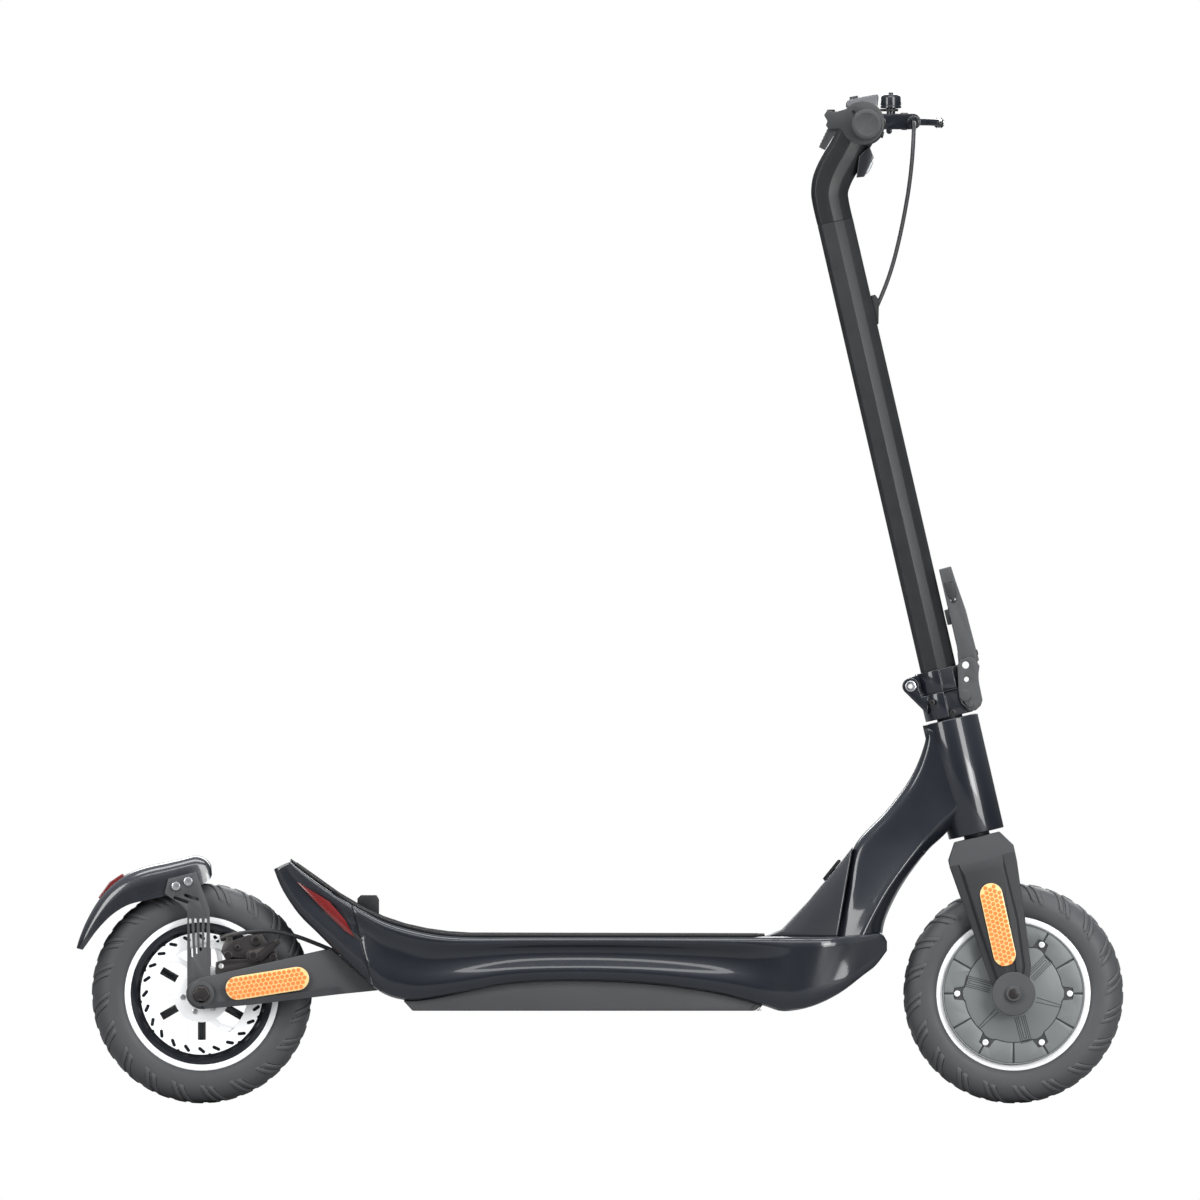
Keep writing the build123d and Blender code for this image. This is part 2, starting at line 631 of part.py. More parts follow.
stem_start = Pos(0, 0, flange_top)
stem_length = stem_top - flange_top
stem_wall = stem_section - stem_core
parts["stem_tube"] = steering * extrude(stem_start * stem_wall, amount=stem_length, dir=(0, 0, 1))

claw_points = [
    (24, 329),
    (31, 328),
    (38, 332),
    (41.5, 338),
    (42, 359),
    (43.5, 368),
    (47, 377),
    (44, 386),
    (38, 390.5),
    (27, 389),
    (22, 383),
    (16.5, 352),
    (16.5, 340),
]
claw_face = Polygon(*claw_points, align=None) - Pos(28.9, 365.4) * Circle(3)
claw = pair(side_solid(claw_face, -claw_outer, -claw_inner))
claw += side_polygon([(39.2, 358.5), (42, 358.5), (42.8, 366), (39.2, 366)], -claw_outer, claw_outer)
claw += rod_y(*lever_pivot, 5.5, -claw_outer, claw_outer)
claw -= rod_y(*lever_pivot, 4.2, -30, 30)
claw += rod_y(*claw_pivot, 4, -25, 25)
claw += pair(rod_y(*claw_pivot, 6.5, -25.5, -claw_outer) + rod_y(27, 335.7, 3.5, -25, -claw_outer))
parts["latch_claw"] = steering * claw

lever_points = [
    (25.5, 392),
    (26.6, 404),
    (26.4, 496),
    (40.7, 496.6),
    (42, 480),
    (46, 443.6),
    (47, 412),
    (47.5, 392),
]
lever = side_polygon(lever_points, -20, 20)
lever -= side_polygon([(24, 380), (24, 440), (36, 440), (42, 400), (42, 380)], -16, 16)
eye = Pos(*lever_pivot) * Circle(8)
eye += Polygon((24, 384), (25.5, 396), (47.5, 396), (48, 384), (38, 376), align=None)
lever += pair(side_solid(eye, -20, -14.3))
lever -= rod_y(*lever_pivot, 5.5 + running_gap, -30, 30)
lever += box_between((21.7, -8, 431), (27, 8, 449))
lever -= box_between((31.5, -25, 456), (37.5, 25, 478))
lever += box_between((31, -4, 455), (38, 4, 457))
parts["latch_lever"] = steering * lever
shield = [(28.5, 480), (40, 477), (40, 466), (34, 454), (29, 466)]
button = pair(side_polygon(shield, -21.8, -20.3))
button += box_between((32, -20.4, 462), (37, 20.4, 475))
parts["safety_button"] = steering * button

# ---------------------------------------------------------------- neck, bar, controls
neck_curve_rear = Spline(
    (251.2, 1013.4), (243.5, 1050), (246, 1072), (272, 1121), tangents=[(-0.23, 0.97), (0.5, 0.87)]
)
neck_curve_front = Spline(
    (291.6, 1022.8), (285.8, 1050), (294, 1070), (312, 1106), tangents=[(-0.23, 0.97), (0.45, 0.9)]
)
neck_face = make_face(
    [
        *neck_curve_rear.edges(),
        *Polyline((272, 1121), (283, 1150), (320, 1150), (326, 1126), (312, 1106)).edges(),
        *neck_curve_front.edges(),
        Line((291.6, 1022.8), (251.2, 1013.4)),
    ]
)
neck = side_solid(neck_face, -20.3, 20.3)
neck += rod_y(bar_x, bar_z, 21.5, -clamp_half_width, clamp_half_width)
hook_points = [(276, 1132), (269, 1138), (268.5, 1144), (272.5, 1146), (277, 1142), (284, 1144)]
neck += side_polygon(hook_points, -6, 6)
neck -= rod_y(bar_x, bar_z, bar_centre_radius, -60, 60)
light_points = [(296, 1069), (305, 1070), (316, 1092), (311, 1105), (299, 1094)]
headlight = side_polygon(light_points, -17, 17)
parts["headlight"] = headlight
parts["stem_neck"] = neck - headlight

bar = rod_y(bar_x, bar_z, bar_end_radius, -grip_end + 8, grip_end - 8)
bar += rod_y(bar_x, bar_z, bar_middle_radius, -bar_step_y, bar_step_y)
bar += rod_y(bar_x, bar_z, bar_centre_radius, -clamp_half_width, clamp_half_width)
bar -= rod_y(bar_x, bar_z, 8.6, -grip_end, grip_end)
parts["handlebar"] = bar
grip = rod_y(bar_x, bar_z, grip_radius, -grip_end, -control_outer)
grip = fillet(grip.edges().group_by(Axis.Y)[0], 3)
grip -= rod_y(bar_x, bar_z, bar_end_radius, -grip_end + 8, 0)
parts["grips"] = pair(grip)

display_points = [(284, 1150), (284, 1156), (288, 1159), (320, 1165), (321.5, 1163), (320, 1150)]
display = side_polygon(display_points, -38, 38)
button_slope = degrees(atan2(6, 32))
button_place = Pos(293, -26, 1159.94) * Rot(0, -button_slope, 0)
display -= button_place * Cylinder(5.4, 8)
parts["display"] = display
parts["power_button"] = button_place * Pos(0, 0, 1.2) * Cylinder(5, 3)

housing_face = Pos(302.5, 1131) * Circle(25)
housing_points = [
    (284, 1147),
    (270, 1143),
    (262, 1146),
    (258, 1140),
    (262, 1133),
    (260, 1128),
    (264, 1123),
    (275, 1124),
    (292, 1113),
    (302, 1131),
]
housing_face += Polygon(*housing_points, align=None)
housing = side_solid(housing_face, -control_outer, -control_inner)
housing -= rod_y(bar_x, bar_z, bar_end_radius, -150, -100)
paddle_pivot = (268.5, 1129.0)
housing -= rod_y(*paddle_pivot, 7.6, -139, -117)
paddle_slot = [(258, 1117), (258, 1131), (268, 1131), (277, 1129), (280, 1117)]
housing -= side_polygon(paddle_slot, -139, -117)
housing += rod_y(*paddle_pivot, 2.5, -control_outer, -control_inner)
mode_place = Pos(266, -128, 1143.5)
housing -= mode_place * Cylinder(4.9, 10)
parts["throttle_housing"] = housing
parts["mode_button"] = mode_place * Pos(0, 0, 0.5) * Cylinder(4.5, 4.5)
paddle = side_solid(Pos(*paddle_pivot) * Circle(6.5), -138, -118)
paddle += side_polygon([(263, 1126), (252, 1103), (259, 1099.5), (274, 1124)], -138, -118)
paddle -= rod_y(*paddle_pivot, 2.5 + running_gap, -150, -100)
parts["throttle_paddle"] = paddle

# Brake lever side
lever_x = 352.0
lever_y = 133.0
lever_z = 1134.5
perch = box_between((318, control_inner, 1126), (362, control_outer - 1, 1144))
perch += rod_y(362, 1135, 9, control_inner, control_outer - 1)
perch += rod_y(bar_x, bar_z, 17.2, control_inner, control_outer - 1)
perch -= rod_y(bar_x, bar_z, bar_end_radius, 100, 150)
perch -= box_between((338, 121, lever_z - 4.3), (380, 150, lever_z + 4.3))
perch += Pos(lever_x, lever_y, lever_z) * Cylinder(3, 18)
perch += rod_y(334.5, 1124, 3.4, 118, 136)
adjuster = rod_y(363, 1134, 7, 101, control_inner)
for index in range(12):
    groove = Pos(363, 107, 1134) * Rot(0, 30 * index, 0) * Pos(0, 0, 7.2) * Box(1.2, 14, 1.6)
    adjuster -= groove
perch += adjuster
parts["brake_perch"] = perch
blade_near = [(lever_x + 3, lever_y - 7), (378, 137), (391, 158), (396.5, 200), (396.5, 250)]
blade_far = [(389.5, 250), (387, 200), (379, 163), (366, 147), (lever_x - 5, lever_y + 6)]
brake_lever = top_polygon(blade_near + blade_far, lever_z - 3.8, lever_z + 3.8)
brake_lever += Pos(lever_x, lever_y, lever_z) * Cylinder(8, 7.6)
brake_lever += Pos(393, 252, lever_z) * Sphere(5.5)
brake_lever -= Pos(lever_x, lever_y, lever_z) * Cylinder(3 + running_gap, 30)
parts["brake_lever"] = brake_lever

bell_x = 336.5
bell_y = 123.0
bell = Pos(bell_x, bell_y, 1144) * Cylinder(5, 7, align=(Align.CENTER, Align.CENTER, Align.MIN))
bell_dome = Pos(bell_x, bell_y, 1150.5) * Cylinder(12, 15.5, align=(Align.CENTER, Align.CENTER, Align.MIN))
bell_dome = fillet(bell_dome.edges().sort_by(Axis.Z)[-1], 3)
bell += bell_dome
bell += Pos(bell_x, bell_y, 1166) * Cylinder(2.6, 2.6, align=(Align.CENTER, Align.CENTER, Align.MIN))
parts["bell"] = bell
striker = Pos(bell_x, bell_y, 1148.2) * Cylinder(8.5, 3)
striker += box_between((bell_x - 13.5, bell_y - 2.5, 1146.7), (bell_x, bell_y + 2.5, 1149.7))
striker -= Pos(bell_x, bell_y, 1148.2) * Cylinder(5 + running_gap, 6)
parts["bell_striker"] = striker

front_cable_route = [
    (363, 101, 1134),
    (363, 84, 1134),
    (362.5, 66, 1120),
    (361, 50, 1094),
    (357.5, 37, 1062),
    (352.5, 26, 1032),
    (346, 17, 1000),
    (337.5, 9, 966),
    (326, 3, 934),
    (314, 0, 908),
]
stem_solid = steering * extrude(stem_start * stem_section, amount=stem_length, dir=(0, 0, 1))
grommet = side_polygon([(316, 898), (321.5, 900), (322, 928), (317.5, 934), (309, 932), (309, 900)], -5, 5)
front_cable = cord(front_cable_route, cable_radius)
grommet -= stem_solid
parts["brake_cable_front"] = front_cable - stem_solid - grommet
parts["cable_guide"] = grommet

stand_eye_start = stand_pivot + Vector(*stand_axis) * 2.4
stand_eye_end = stand_pivot + Vector(*stand_axis) * 11.5
leg = rod_between(tuple(stand_eye_start), tuple(stand_eye_end), 7)
leg_start = tuple(stand_pivot + Vector(*stand_axis) * 7.5)
leg_end = (leg_start[0] - 98, leg_start[1], leg_start[2] + 4)
leg += rod_between(leg_start, leg_end, 4.8)
foot_start = (leg_end[0] + 14, leg_end[1], leg_end[2] - 0.5)
foot_end = (leg_end[0] - 4, leg_end[1], leg_end[2])
leg += rod_between(foot_start, foot_end, 6.5)
leg -= rod_between(tuple(stand_pin_start), tuple(stand_pivot + Vector(*stand_axis) * 20), 4 + running_gap)
parts["kickstand_leg"] = leg

for name, part in parts.items():
    export_step(part, f"parts/{name}.step")
print(len(parts), "nodes")
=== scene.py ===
from math import atan2, cos, hypot, pi, radians, sin

import bpy
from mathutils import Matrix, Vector


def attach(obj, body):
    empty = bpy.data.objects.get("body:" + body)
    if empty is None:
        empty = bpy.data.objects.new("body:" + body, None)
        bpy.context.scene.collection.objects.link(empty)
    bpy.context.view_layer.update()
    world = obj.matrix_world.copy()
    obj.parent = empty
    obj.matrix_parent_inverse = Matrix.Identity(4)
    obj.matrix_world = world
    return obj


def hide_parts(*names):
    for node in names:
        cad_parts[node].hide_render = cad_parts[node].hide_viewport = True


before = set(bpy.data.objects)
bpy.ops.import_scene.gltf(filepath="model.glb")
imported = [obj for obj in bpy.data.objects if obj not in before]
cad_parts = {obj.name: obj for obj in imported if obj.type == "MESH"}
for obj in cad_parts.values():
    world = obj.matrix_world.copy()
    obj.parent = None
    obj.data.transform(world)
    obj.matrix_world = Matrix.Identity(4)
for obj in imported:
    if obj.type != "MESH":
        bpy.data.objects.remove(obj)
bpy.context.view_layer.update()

# ------------------------------------------------------------------ camera, floor and light
# The scooter stands on a plain pale floor in a white room and is seen square from its right-hand side
# through a very long lens.  Soft boxes above, behind and beside it draw long highlights on the gloss paint.
view_width = 1.385
camera_distance = 55.0
view_height = 0.5815
camera = bpy.data.cameras.new("side_camera")
camera.lens = camera.sensor_width * camera_distance / view_width
camera.clip_end = 200.0
camera_object = bpy.data.objects.new("side_camera", camera)
camera_object.location = (0.0, -camera_distance, view_height)
camera_object.rotation_euler = (radians(90), 0.0, 0.0)
bpy.context.scene.collection.objects.link(camera_object)
bpy.context.scene.camera = camera_object
bpy.context.scene.view_settings.view_transform = "Standard"

world = bpy.data.worlds.new("white_room")
bpy.context.scene.world = world
world.use_nodes = True
room = world.node_tree
room.nodes.clear()
room_output = room.nodes.new("ShaderNodeOutputWorld")
room_mix = room.nodes.new("ShaderNodeMixShader")
seen = room.nodes.new("ShaderNodeBackground")
seen.inputs["Color"].default_value = (1.0, 1.0, 1.0, 1.0)
seen.inputs["Strength"].default_value = 1.0
lit = room.nodes.new("ShaderNodeBackground")
lit.inputs["Strength"].default_value = 0.55
ray = room.nodes.new("ShaderNodeLightPath")
direction = room.nodes.new("ShaderNodeTexCoord")
height = room.nodes.new("ShaderNodeSeparateXYZ")
shade = room.nodes.new("ShaderNodeValToRGB")
shade.color_ramp.elements[0].position = 0.05
shade.color_ramp.elements[0].color = (0.16, 0.16, 0.16, 1.0)
shade.color_ramp.elements[1].position = 0.8
shade.color_ramp.elements[1].color = (1.3, 1.38, 1.5, 1.0)
room.links.new(direction.outputs["Generated"], height.inputs[0])
room.links.new(height.outputs["Z"], shade.inputs["Fac"])
room.links.new(shade.outputs["Color"], lit.inputs["Color"])
room.links.new(ray.outputs["Is Camera Ray"], room_mix.inputs["Fac"])
room.links.new(lit.outputs[0], room_mix.inputs[1])
room.links.new(seen.outputs[0], room_mix.inputs[2])
room.links.new(room_mix.outputs[0], room_output.inputs["Surface"])

bpy.ops.object.select_all(action="DESELECT")
bpy.ops.mesh.primitive_plane_add(size=8.0, location=(0.0, 0.0, 0.0))
floor = bpy.context.object
floor.name = "floor"
pale = bpy.data.materials.new("pale_floor")
pale.use_nodes = True
pale.node_tree.nodes.clear()
pale_output = pale.node_tree.nodes.new("ShaderNodeOutputMaterial")
pale_mix = pale.node_tree.nodes.new("ShaderNodeMixShader")
pale_ray = pale.node_tree.nodes.new("ShaderNodeLightPath")
pale_matt = pale.node_tree.nodes.new("ShaderNodeBsdfDiffuse")
pale_matt.inputs["Color"].default_value = (0.3, 0.3, 0.3, 1.0)
pale_bright = pale.node_tree.nodes.new("ShaderNodeEmission")
pale.node_tree.links.new(pale_ray.outputs["Is Camera Ray"], pale_mix.inputs["Fac"])
pale.node_tree.links.new(pale_matt.outputs[0], pale_mix.inputs[1])
pale.node_tree.links.new(pale_bright.outputs[0], pale_mix.inputs[2])
pale.node_tree.links.new(pale_mix.outputs[0], pale_output.inputs["Surface"])
floor.data.materials.append(pale)


def soft_box(name, place, target, size, power, tint=(1.0, 1.0, 1.0)):
    """A rectangular soft light at a place, turned towards a target."""
    light = bpy.data.lights.new(name, "AREA")
    light.shape = "RECTANGLE"
    light.size, light.size_y = size
    light.energy = power
    light.color = tint
    lamp = bpy.data.objects.new(name, light)
    lamp.location = place
    lamp.rotation_euler = (Vector(target) - Vector(place)).to_track_quat("-Z", "Y").to_euler()
    bpy.context.scene.collection.objects.link(lamp)


soft_box("top_box", (0.0, -0.5, 3.0), (0.0, 0.0, 0.3), (3.2, 0.8), 62)
soft_box("streak_box", (0.0, -2.6, 2.7), (0.0, 0.0, 0.4), (2.6, 0.6), 24)
soft_box("front_side_box", (1.9, -2.6, 1.5), (0.2, 0.0, 0.4), (1.1, 2.2), 66)
soft_box("rear_side_box", (-2.2, -2.4, 1.3), (-0.2, 0.0, 0.3), (1.1, 2.0), 56)
soft_box("low_front_box", (2.1, -2.3, 0.5), (0.45, 0.0, 0.3), (1.1, 0.8), 24)
soft_box("far_box", (0.3, 2.8, 1.8), (0.0, 0.0, 0.5), (3.0, 1.2), 60)


# ------------------------------------------------------------------ deck shell
# The deck is one die-cast aluminium beam, sanded and sprayed gloss black, with blue-grey patches on its edges
# that are partly wear and partly painted highlight.
# Its flank has a long hollow between two soft ridges, and a thin lip hangs over the battery tray.
def only(piece):
    """Makes a piece the one that operators act on."""
    bpy.ops.object.select_all(action="DESELECT")
    piece.select_set(True)
    bpy.context.view_layer.objects.active = piece


def edit(piece, *steps):
    """Runs mesh operators on the whole of a piece in edit mode."""
    only(piece)
    bpy.ops.object.mode_set(mode="EDIT")
    bpy.ops.mesh.select_all(action="SELECT")
    for step, settings in steps:
        step(**settings)
    bpy.ops.object.mode_set(mode="OBJECT")


def added(name, primitive, **settings):
    """A new piece from one of Blender's mesh primitives."""
    bpy.ops.object.select_all(action="DESELECT")
    primitive(**settings)
    piece = bpy.context.object
    piece.name = name
    return piece


def settle(piece):
    """Bakes a piece's place, turn and scale into its mesh."""
    only(piece)
    bpy.ops.object.transform_apply(location=True, rotation=True, scale=True)


def welded(piece, distance):
    """Merges the points of a piece that are closer than a distance and turns its faces outwards."""
    edit(
        piece,
        (bpy.ops.mesh.remove_doubles, {"threshold": distance}),
        (bpy.ops.mesh.normals_make_consistent, {"inside": False}),
    )


def with_modifier(piece, kind, **settings):
    """Adds a modifier and applies it."""
    only(piece)
    modifier = piece.modifiers.new("shaping", kind)
    for key, value in settings.items():
        setattr(modifier, key, value)
    bpy.ops.object.modifier_apply(modifier=modifier.name)


def rounded(piece, width, segments=2, angle=30):
    """Rounds the edges that turn by more than an angle."""
    with_modifier(
        piece, "BEVEL", width=width, segments=segments, limit_method="ANGLE",
        angle_limit=radians(angle), use_clamp_overlap=False,
    )


def smooth(piece, angle=40):
    only(piece)
    bpy.ops.object.shade_smooth_by_angle(angle=radians(angle))


def loft(name, sections, closed_ends=True):
    """A skin over a row of sections, each a ring of the same number of points in millimetres."""
    around, along = len(sections[0]), len(sections)
    grid = {"x_subdivisions": around, "y_subdivisions": along - 1, "size": 1}
    piece = added(name, bpy.ops.mesh.primitive_grid_add, **grid)
    for row, ring in enumerate(sections):
        for column in range(around + 1):
            vertex = piece.data.vertices[row * (around + 1) + column]
            vertex.co = Vector(ring[column % around]) / 1000
    edit(piece, (bpy.ops.mesh.remove_doubles, {"threshold": 1e-6}))
    if closed_ends:
        edit(piece, (bpy.ops.mesh.fill_holes, {"sides": 0}))
    edit(piece, (bpy.ops.mesh.normals_make_consistent, {"inside": False}))
    return piece


def fit(piece, body, material, replaced=()):
    """Bakes a piece's place into its mesh and fixes it to a body with its finish."""
    settle(piece)
    piece.data.materials.clear()
    piece.data.materials.append(material)
    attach(piece, body)
    if replaced:
        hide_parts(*replaced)
    return piece


def new_group(name, inputs, outputs):
    """An empty shader node group with named sockets."""
    group = bpy.data.node_groups.new(name, "ShaderNodeTree")
    for label, kind, value in inputs:
        socket = group.interface.new_socket(label, in_out="INPUT", socket_type=kind)
        socket.default_value = value
    for label, kind in outputs:
        group.interface.new_socket(label, in_out="OUTPUT", socket_type=kind)
    return group, group.nodes.new("NodeGroupInput"), group.nodes.new("NodeGroupOutput")


def maths(tree, operation, first, second):
    """A Math node on two values, each a socket or a number."""
    node = tree.nodes.new("ShaderNodeMath")
    node.operation = operation
    for socket, value in zip(node.inputs, (first, second)):
        if isinstance(value, (int, float)):
            socket.default_value = value
        else:
            tree.links.new(value, socket)
    return node.outputs[0]


def noise(tree, place, scale, detail=3.0):
    node = tree.nodes.new("ShaderNodeTexNoise")
    tree.links.new(place, node.inputs["Vector"])
    if isinstance(scale, (int, float)):
        node.inputs["Scale"].default_value = scale
    else:
        tree.links.new(scale, node.inputs["Scale"])
    node.inputs["Detail"].default_value = detail
    return node.outputs["Fac"]


skin, skin_in, skin_out = new_group(
    "painted_skin",
    [
        ("Color", "NodeSocketColor", (0.1, 0.1, 0.1, 1.0)),
        ("Worn Color", "NodeSocketColor", (0.3, 0.3, 0.3, 1.0)),
        ("Wear", "NodeSocketFloat", 0.3),
        ("Mottle", "NodeSocketFloat", 0.2),
        ("Roughness", "NodeSocketFloat", 0.3),
        ("Smudge", "NodeSocketFloat", 0.1),
        ("Grain Scale", "NodeSocketFloat", 900.0),
        ("Grain Height", "NodeSocketFloat", 0.00002),
    ],
    [("Color", "NodeSocketColor"), ("Roughness", "NodeSocketFloat"), ("Normal", "NodeSocketVector")],
)
skin_place = skin.nodes.new("ShaderNodeTexCoord").outputs["Object"]
broad = noise(skin, skin_place, 14.0, 4.0)
patch = noise(skin, skin_place, 45.0, 5.0)
fine = noise(skin, skin_place, skin_in.outputs["Grain Scale"], 2.0)
shift = maths(skin, "MULTIPLY", maths(skin, "SUBTRACT", broad, 0.5), skin_in.outputs["Mottle"])
tone = skin.nodes.new("ShaderNodeHueSaturation")
skin.links.new(maths(skin, "ADD", shift, 1.0), tone.inputs["Value"])
skin.links.new(skin_in.outputs["Color"], tone.inputs["Color"])
# Convex edges, found by pointiness, take a second colour in noisy patches, usually lighter: partly edge wear
# and partly a painted highlight along the edges.
edges = skin.nodes.new("ShaderNodeNewGeometry")
edge_ramp = skin.nodes.new("ShaderNodeValToRGB")
edge_ramp.color_ramp.elements[0].position = 0.53
edge_ramp.color_ramp.elements[1].position = 0.60
skin.links.new(edges.outputs["Pointiness"], edge_ramp.inputs["Fac"])
worn = maths(skin, "MULTIPLY", edge_ramp.outputs["Color"], skin_in.outputs["Wear"])
worn = maths(skin, "MULTIPLY", worn, patch)
rub_and_highlight_mix = skin.nodes.new("ShaderNodeMix")
rub_and_highlight_mix.data_type = "RGBA"
skin.links.new(worn, rub_and_highlight_mix.inputs["Factor"])
skin.links.new(tone.outputs["Color"], rub_and_highlight_mix.inputs["A"])
skin.links.new(skin_in.outputs["Worn Color"], rub_and_highlight_mix.inputs["B"])
skin.links.new(rub_and_highlight_mix.outputs["Result"], skin_out.inputs["Color"])
smear = maths(skin, "MULTIPLY", maths(skin, "SUBTRACT", patch, 0.5), skin_in.outputs["Smudge"])
skin.links.new(maths(skin, "ADD", skin_in.outputs["Roughness"], smear), skin_out.inputs["Roughness"])
peel = skin.nodes.new("ShaderNodeBump")
peel.inputs["Strength"].default_value = 1.0
skin.links.new(fine, peel.inputs["Height"])
skin.links.new(skin_in.outputs["Grain Height"], peel.inputs["Distance"])
skin.links.new(peel.outputs["Normal"], skin_out.inputs["Normal"])


def painted(
    name, color, roughness, metallic=0.0, specular=0.35, coat=0.0, coat_roughness=0.05, **skin_values
):
    """A material whose colour, gloss and surface come from the painted skin group."""
    made = bpy.data.materials.new(name)
    made.use_nodes = True
    shader = made.node_tree.nodes["Principled BSDF"]
    group = made.node_tree.nodes.new("ShaderNodeGroup")
    group.node_tree = skin
    group.inputs["Color"].default_value = (*color, 1.0)
    group.inputs["Roughness"].default_value = roughness
    for label, value in skin_values.items():
        socket = group.inputs[label.replace("_", " ").title()]
        socket.default_value = (*value, 1.0) if isinstance(value, tuple) else value
    made.node_tree.links.new(group.outputs["Color"], shader.inputs["Base Color"])
    made.node_tree.links.new(group.outputs["Roughness"], shader.inputs["Roughness"])
    made.node_tree.links.new(group.outputs["Normal"], shader.inputs["Normal"])
    shader.inputs["Metallic"].default_value = metallic
    shader.inputs["Specular IOR Level"].default_value = specular
    shader.inputs["Coat Weight"].default_value = coat
    shader.inputs["Coat Roughness"].default_value = coat_roughness
    return made


# Its blue-grey second colour on the edges is partly wear and partly painted highlight.
gloss_black = painted(
    "gloss_black_paint", (0.009, 0.011, 0.0155), 0.32, specular=0.2, coat=0.8, coat_roughness=0.07,
    worn_color=(0.05, 0.055, 0.065), wear=0.5, mottle=0.5, smudge=0.12,
    grain_scale=420.0, grain_height=0.00001,
)
deck_width = [(-378, 60), (-250, 90), (-150, 92), (190, 92), (262, 84), (337, 46)]


def half_width(x):
    """Half the deck's width at a distance forward."""
    for (x_low, w_low), (x_high, w_high) in zip(deck_width, deck_width[1:]):
        if x <= x_high:
            share = max(0.0, (x - x_low) / (x_high - x_low))
            return w_low + share * (w_high - w_low)
    return deck_width[-1][1]


# Each rib of the shell: its top point, its lip point (x, z) and how deep its flank is hollowed
deck_ribs = [
    ((-357, 280), (-376, 271), 0.0),
    ((-345, 270), (-366, 247), 1.0),
    ((-322, 253.5), (-347, 219), 3.0),
    ((-297, 237), (-324, 196), 4.0),
    ((-270, 222), (-298, 170), 4.0),
    ((-245, 210.5), (-272, 145), 3.5),
    ((-222, 203.5), (-248, 127), 3.0),
    ((-197, 198), (-220, 120), 4.0),
    ((-172, 194.7), (-190, 123.5), 6.0),
    ((-140, 193.5), (-150, 131), 8.0),
    ((-90, 193.5), (-95, 140.5), 9.0),
    ((-20, 193.5), (-20, 143), 9.0),
    ((50, 193.5), (50, 140), 9.0),
    ((110, 193.5), (108, 133), 9.0),
    ((150, 193.5), (142, 127), 8.0),
    ((176, 193.5), (166, 120.5), 5.0),
    ((200, 193.5), (190, 113.5), 1.5),
    ((232, 193.5), (212, 107.5), 0.0),
    ((262, 193.5), (244, 113), 0.0),
    ((292, 195), (276, 128), 0.0),
    ((316, 197.3), (304, 149), 0.0),
    ((325, 197), (318, 160), 0.0),
    ((331, 188), (331, 177), 0.0),
]
# Points of half a rib: share of the way down, inset from the full half width, share of the hollow
rib_points = [
    (0.0, 60.0, 0.0),
    (0.0, 12.0, 0.0),
    (0.012, 5.0, 0.0),
    (0.05, 1.2, 0.0),
    (0.10, 0.0, 0.0),
    (0.16, 0.0, 0.12),
    (0.22, 0.0, 0.72),
    (0.32, 0.0, 1.0),
    (0.47, 0.0, 0.92),
    (0.60, 0.0, 0.45),
    (0.70, 0.0, 0.08),
    (0.78, 0.0, 0.0),
    (0.90, 0.8, 0.0),
    (0.97, 3.0, 0.0),
    (1.0, 9.0, 0.0),
    (0.95, 20.0, 0.0),
    (0.93, 60.0, 0.0),
]


def between(start, end, share):
    """The place (x, z) at a share of the way from one place to another."""
    return tuple(a + share * (b - a) for a, b in zip(start, end))


def mirrored(half):
    """A closed ring from the points of its left half."""
    return half + [(x, -y, z) for x, y, z in reversed(half)]


def deck_section(rib):
    """One closed ring of the shell."""
    top, lip, hollow = rib
    half = []
    for down, inset, share in rib_points:
        x, z = between(top, lip, down)
        wide = half_width(x)
        half.append((x, wide - inset * min(1.0, wide / 92) - share * hollow, z))
    return mirrored(half)


def curve_value(before, start, end, after, t):
    """A value on the smooth curve from start to end at a share t, led by the values on either side."""
    slope = (end - before) * t
    bend = (2 * before - 5 * start + 4 * end - after) * t * t
    twist = (3 * start - before - 3 * end + after) * t**3
    return 0.5 * (2 * start + slope + bend + twist)


def smoothed(rows, steps):
    """Sections put between the given ones along smooth curves."""
    out = []
    for index in range(len(rows) - 1):
        four = (rows[max(index - 1, 0)], rows[index], rows[index + 1], rows[min(index + 2, len(rows) - 1)])
        for step in range(steps):
            places = [zip(*points) for points in zip(*four)]
            out.append([tuple(curve_value(*values, step / steps) for values in place) for place in places])
    return out + [rows[-1]]


deck_skin = loft("deck_shell", smoothed([deck_section(rib) for rib in deck_ribs], 4))
seam_point = Vector((-0.283, 0.0, 0.218))
seam_normal = Vector((0.081, 0.0, 0.021)).normalized()
seam_gap = 0.0005
only(deck_skin)
bpy.ops.object.duplicate()
tail_skin = bpy.context.object
tail_skin.name = "tail_shell"
for shell, keep in ((deck_skin, 1), (tail_skin, -1)):
    edit(
        shell,
        (
            bpy.ops.mesh.bisect,
            {
                "plane_co": seam_point + seam_normal * seam_gap * keep,
                "plane_no": seam_normal,
                "use_fill": True,
                "clear_inner": keep > 0,
                "clear_outer": keep < 0,
            },
        ),
    )
    rounded(shell, 0.0006, 2, 50)
    smooth(shell, 45)
fit(deck_skin, "frame", gloss_black, ["deck_frame"])

# ------------------------------------------------------------------ tail shell
# The kicked-up tail is a separate casting in the same gloss paint, closed by a seam behind the deck.
# Three dark plastic vent strips are let into each flank, one above the other.
fit(tail_skin, "frame", gloss_black, ["tail_cover"])
vent_black = painted(
    "vent_black_plastic", (0.004, 0.004, 0.005), 0.55, mottle=0.3, wear=0.2,
    grain_scale=1500.0, grain_height=0.00003,
)


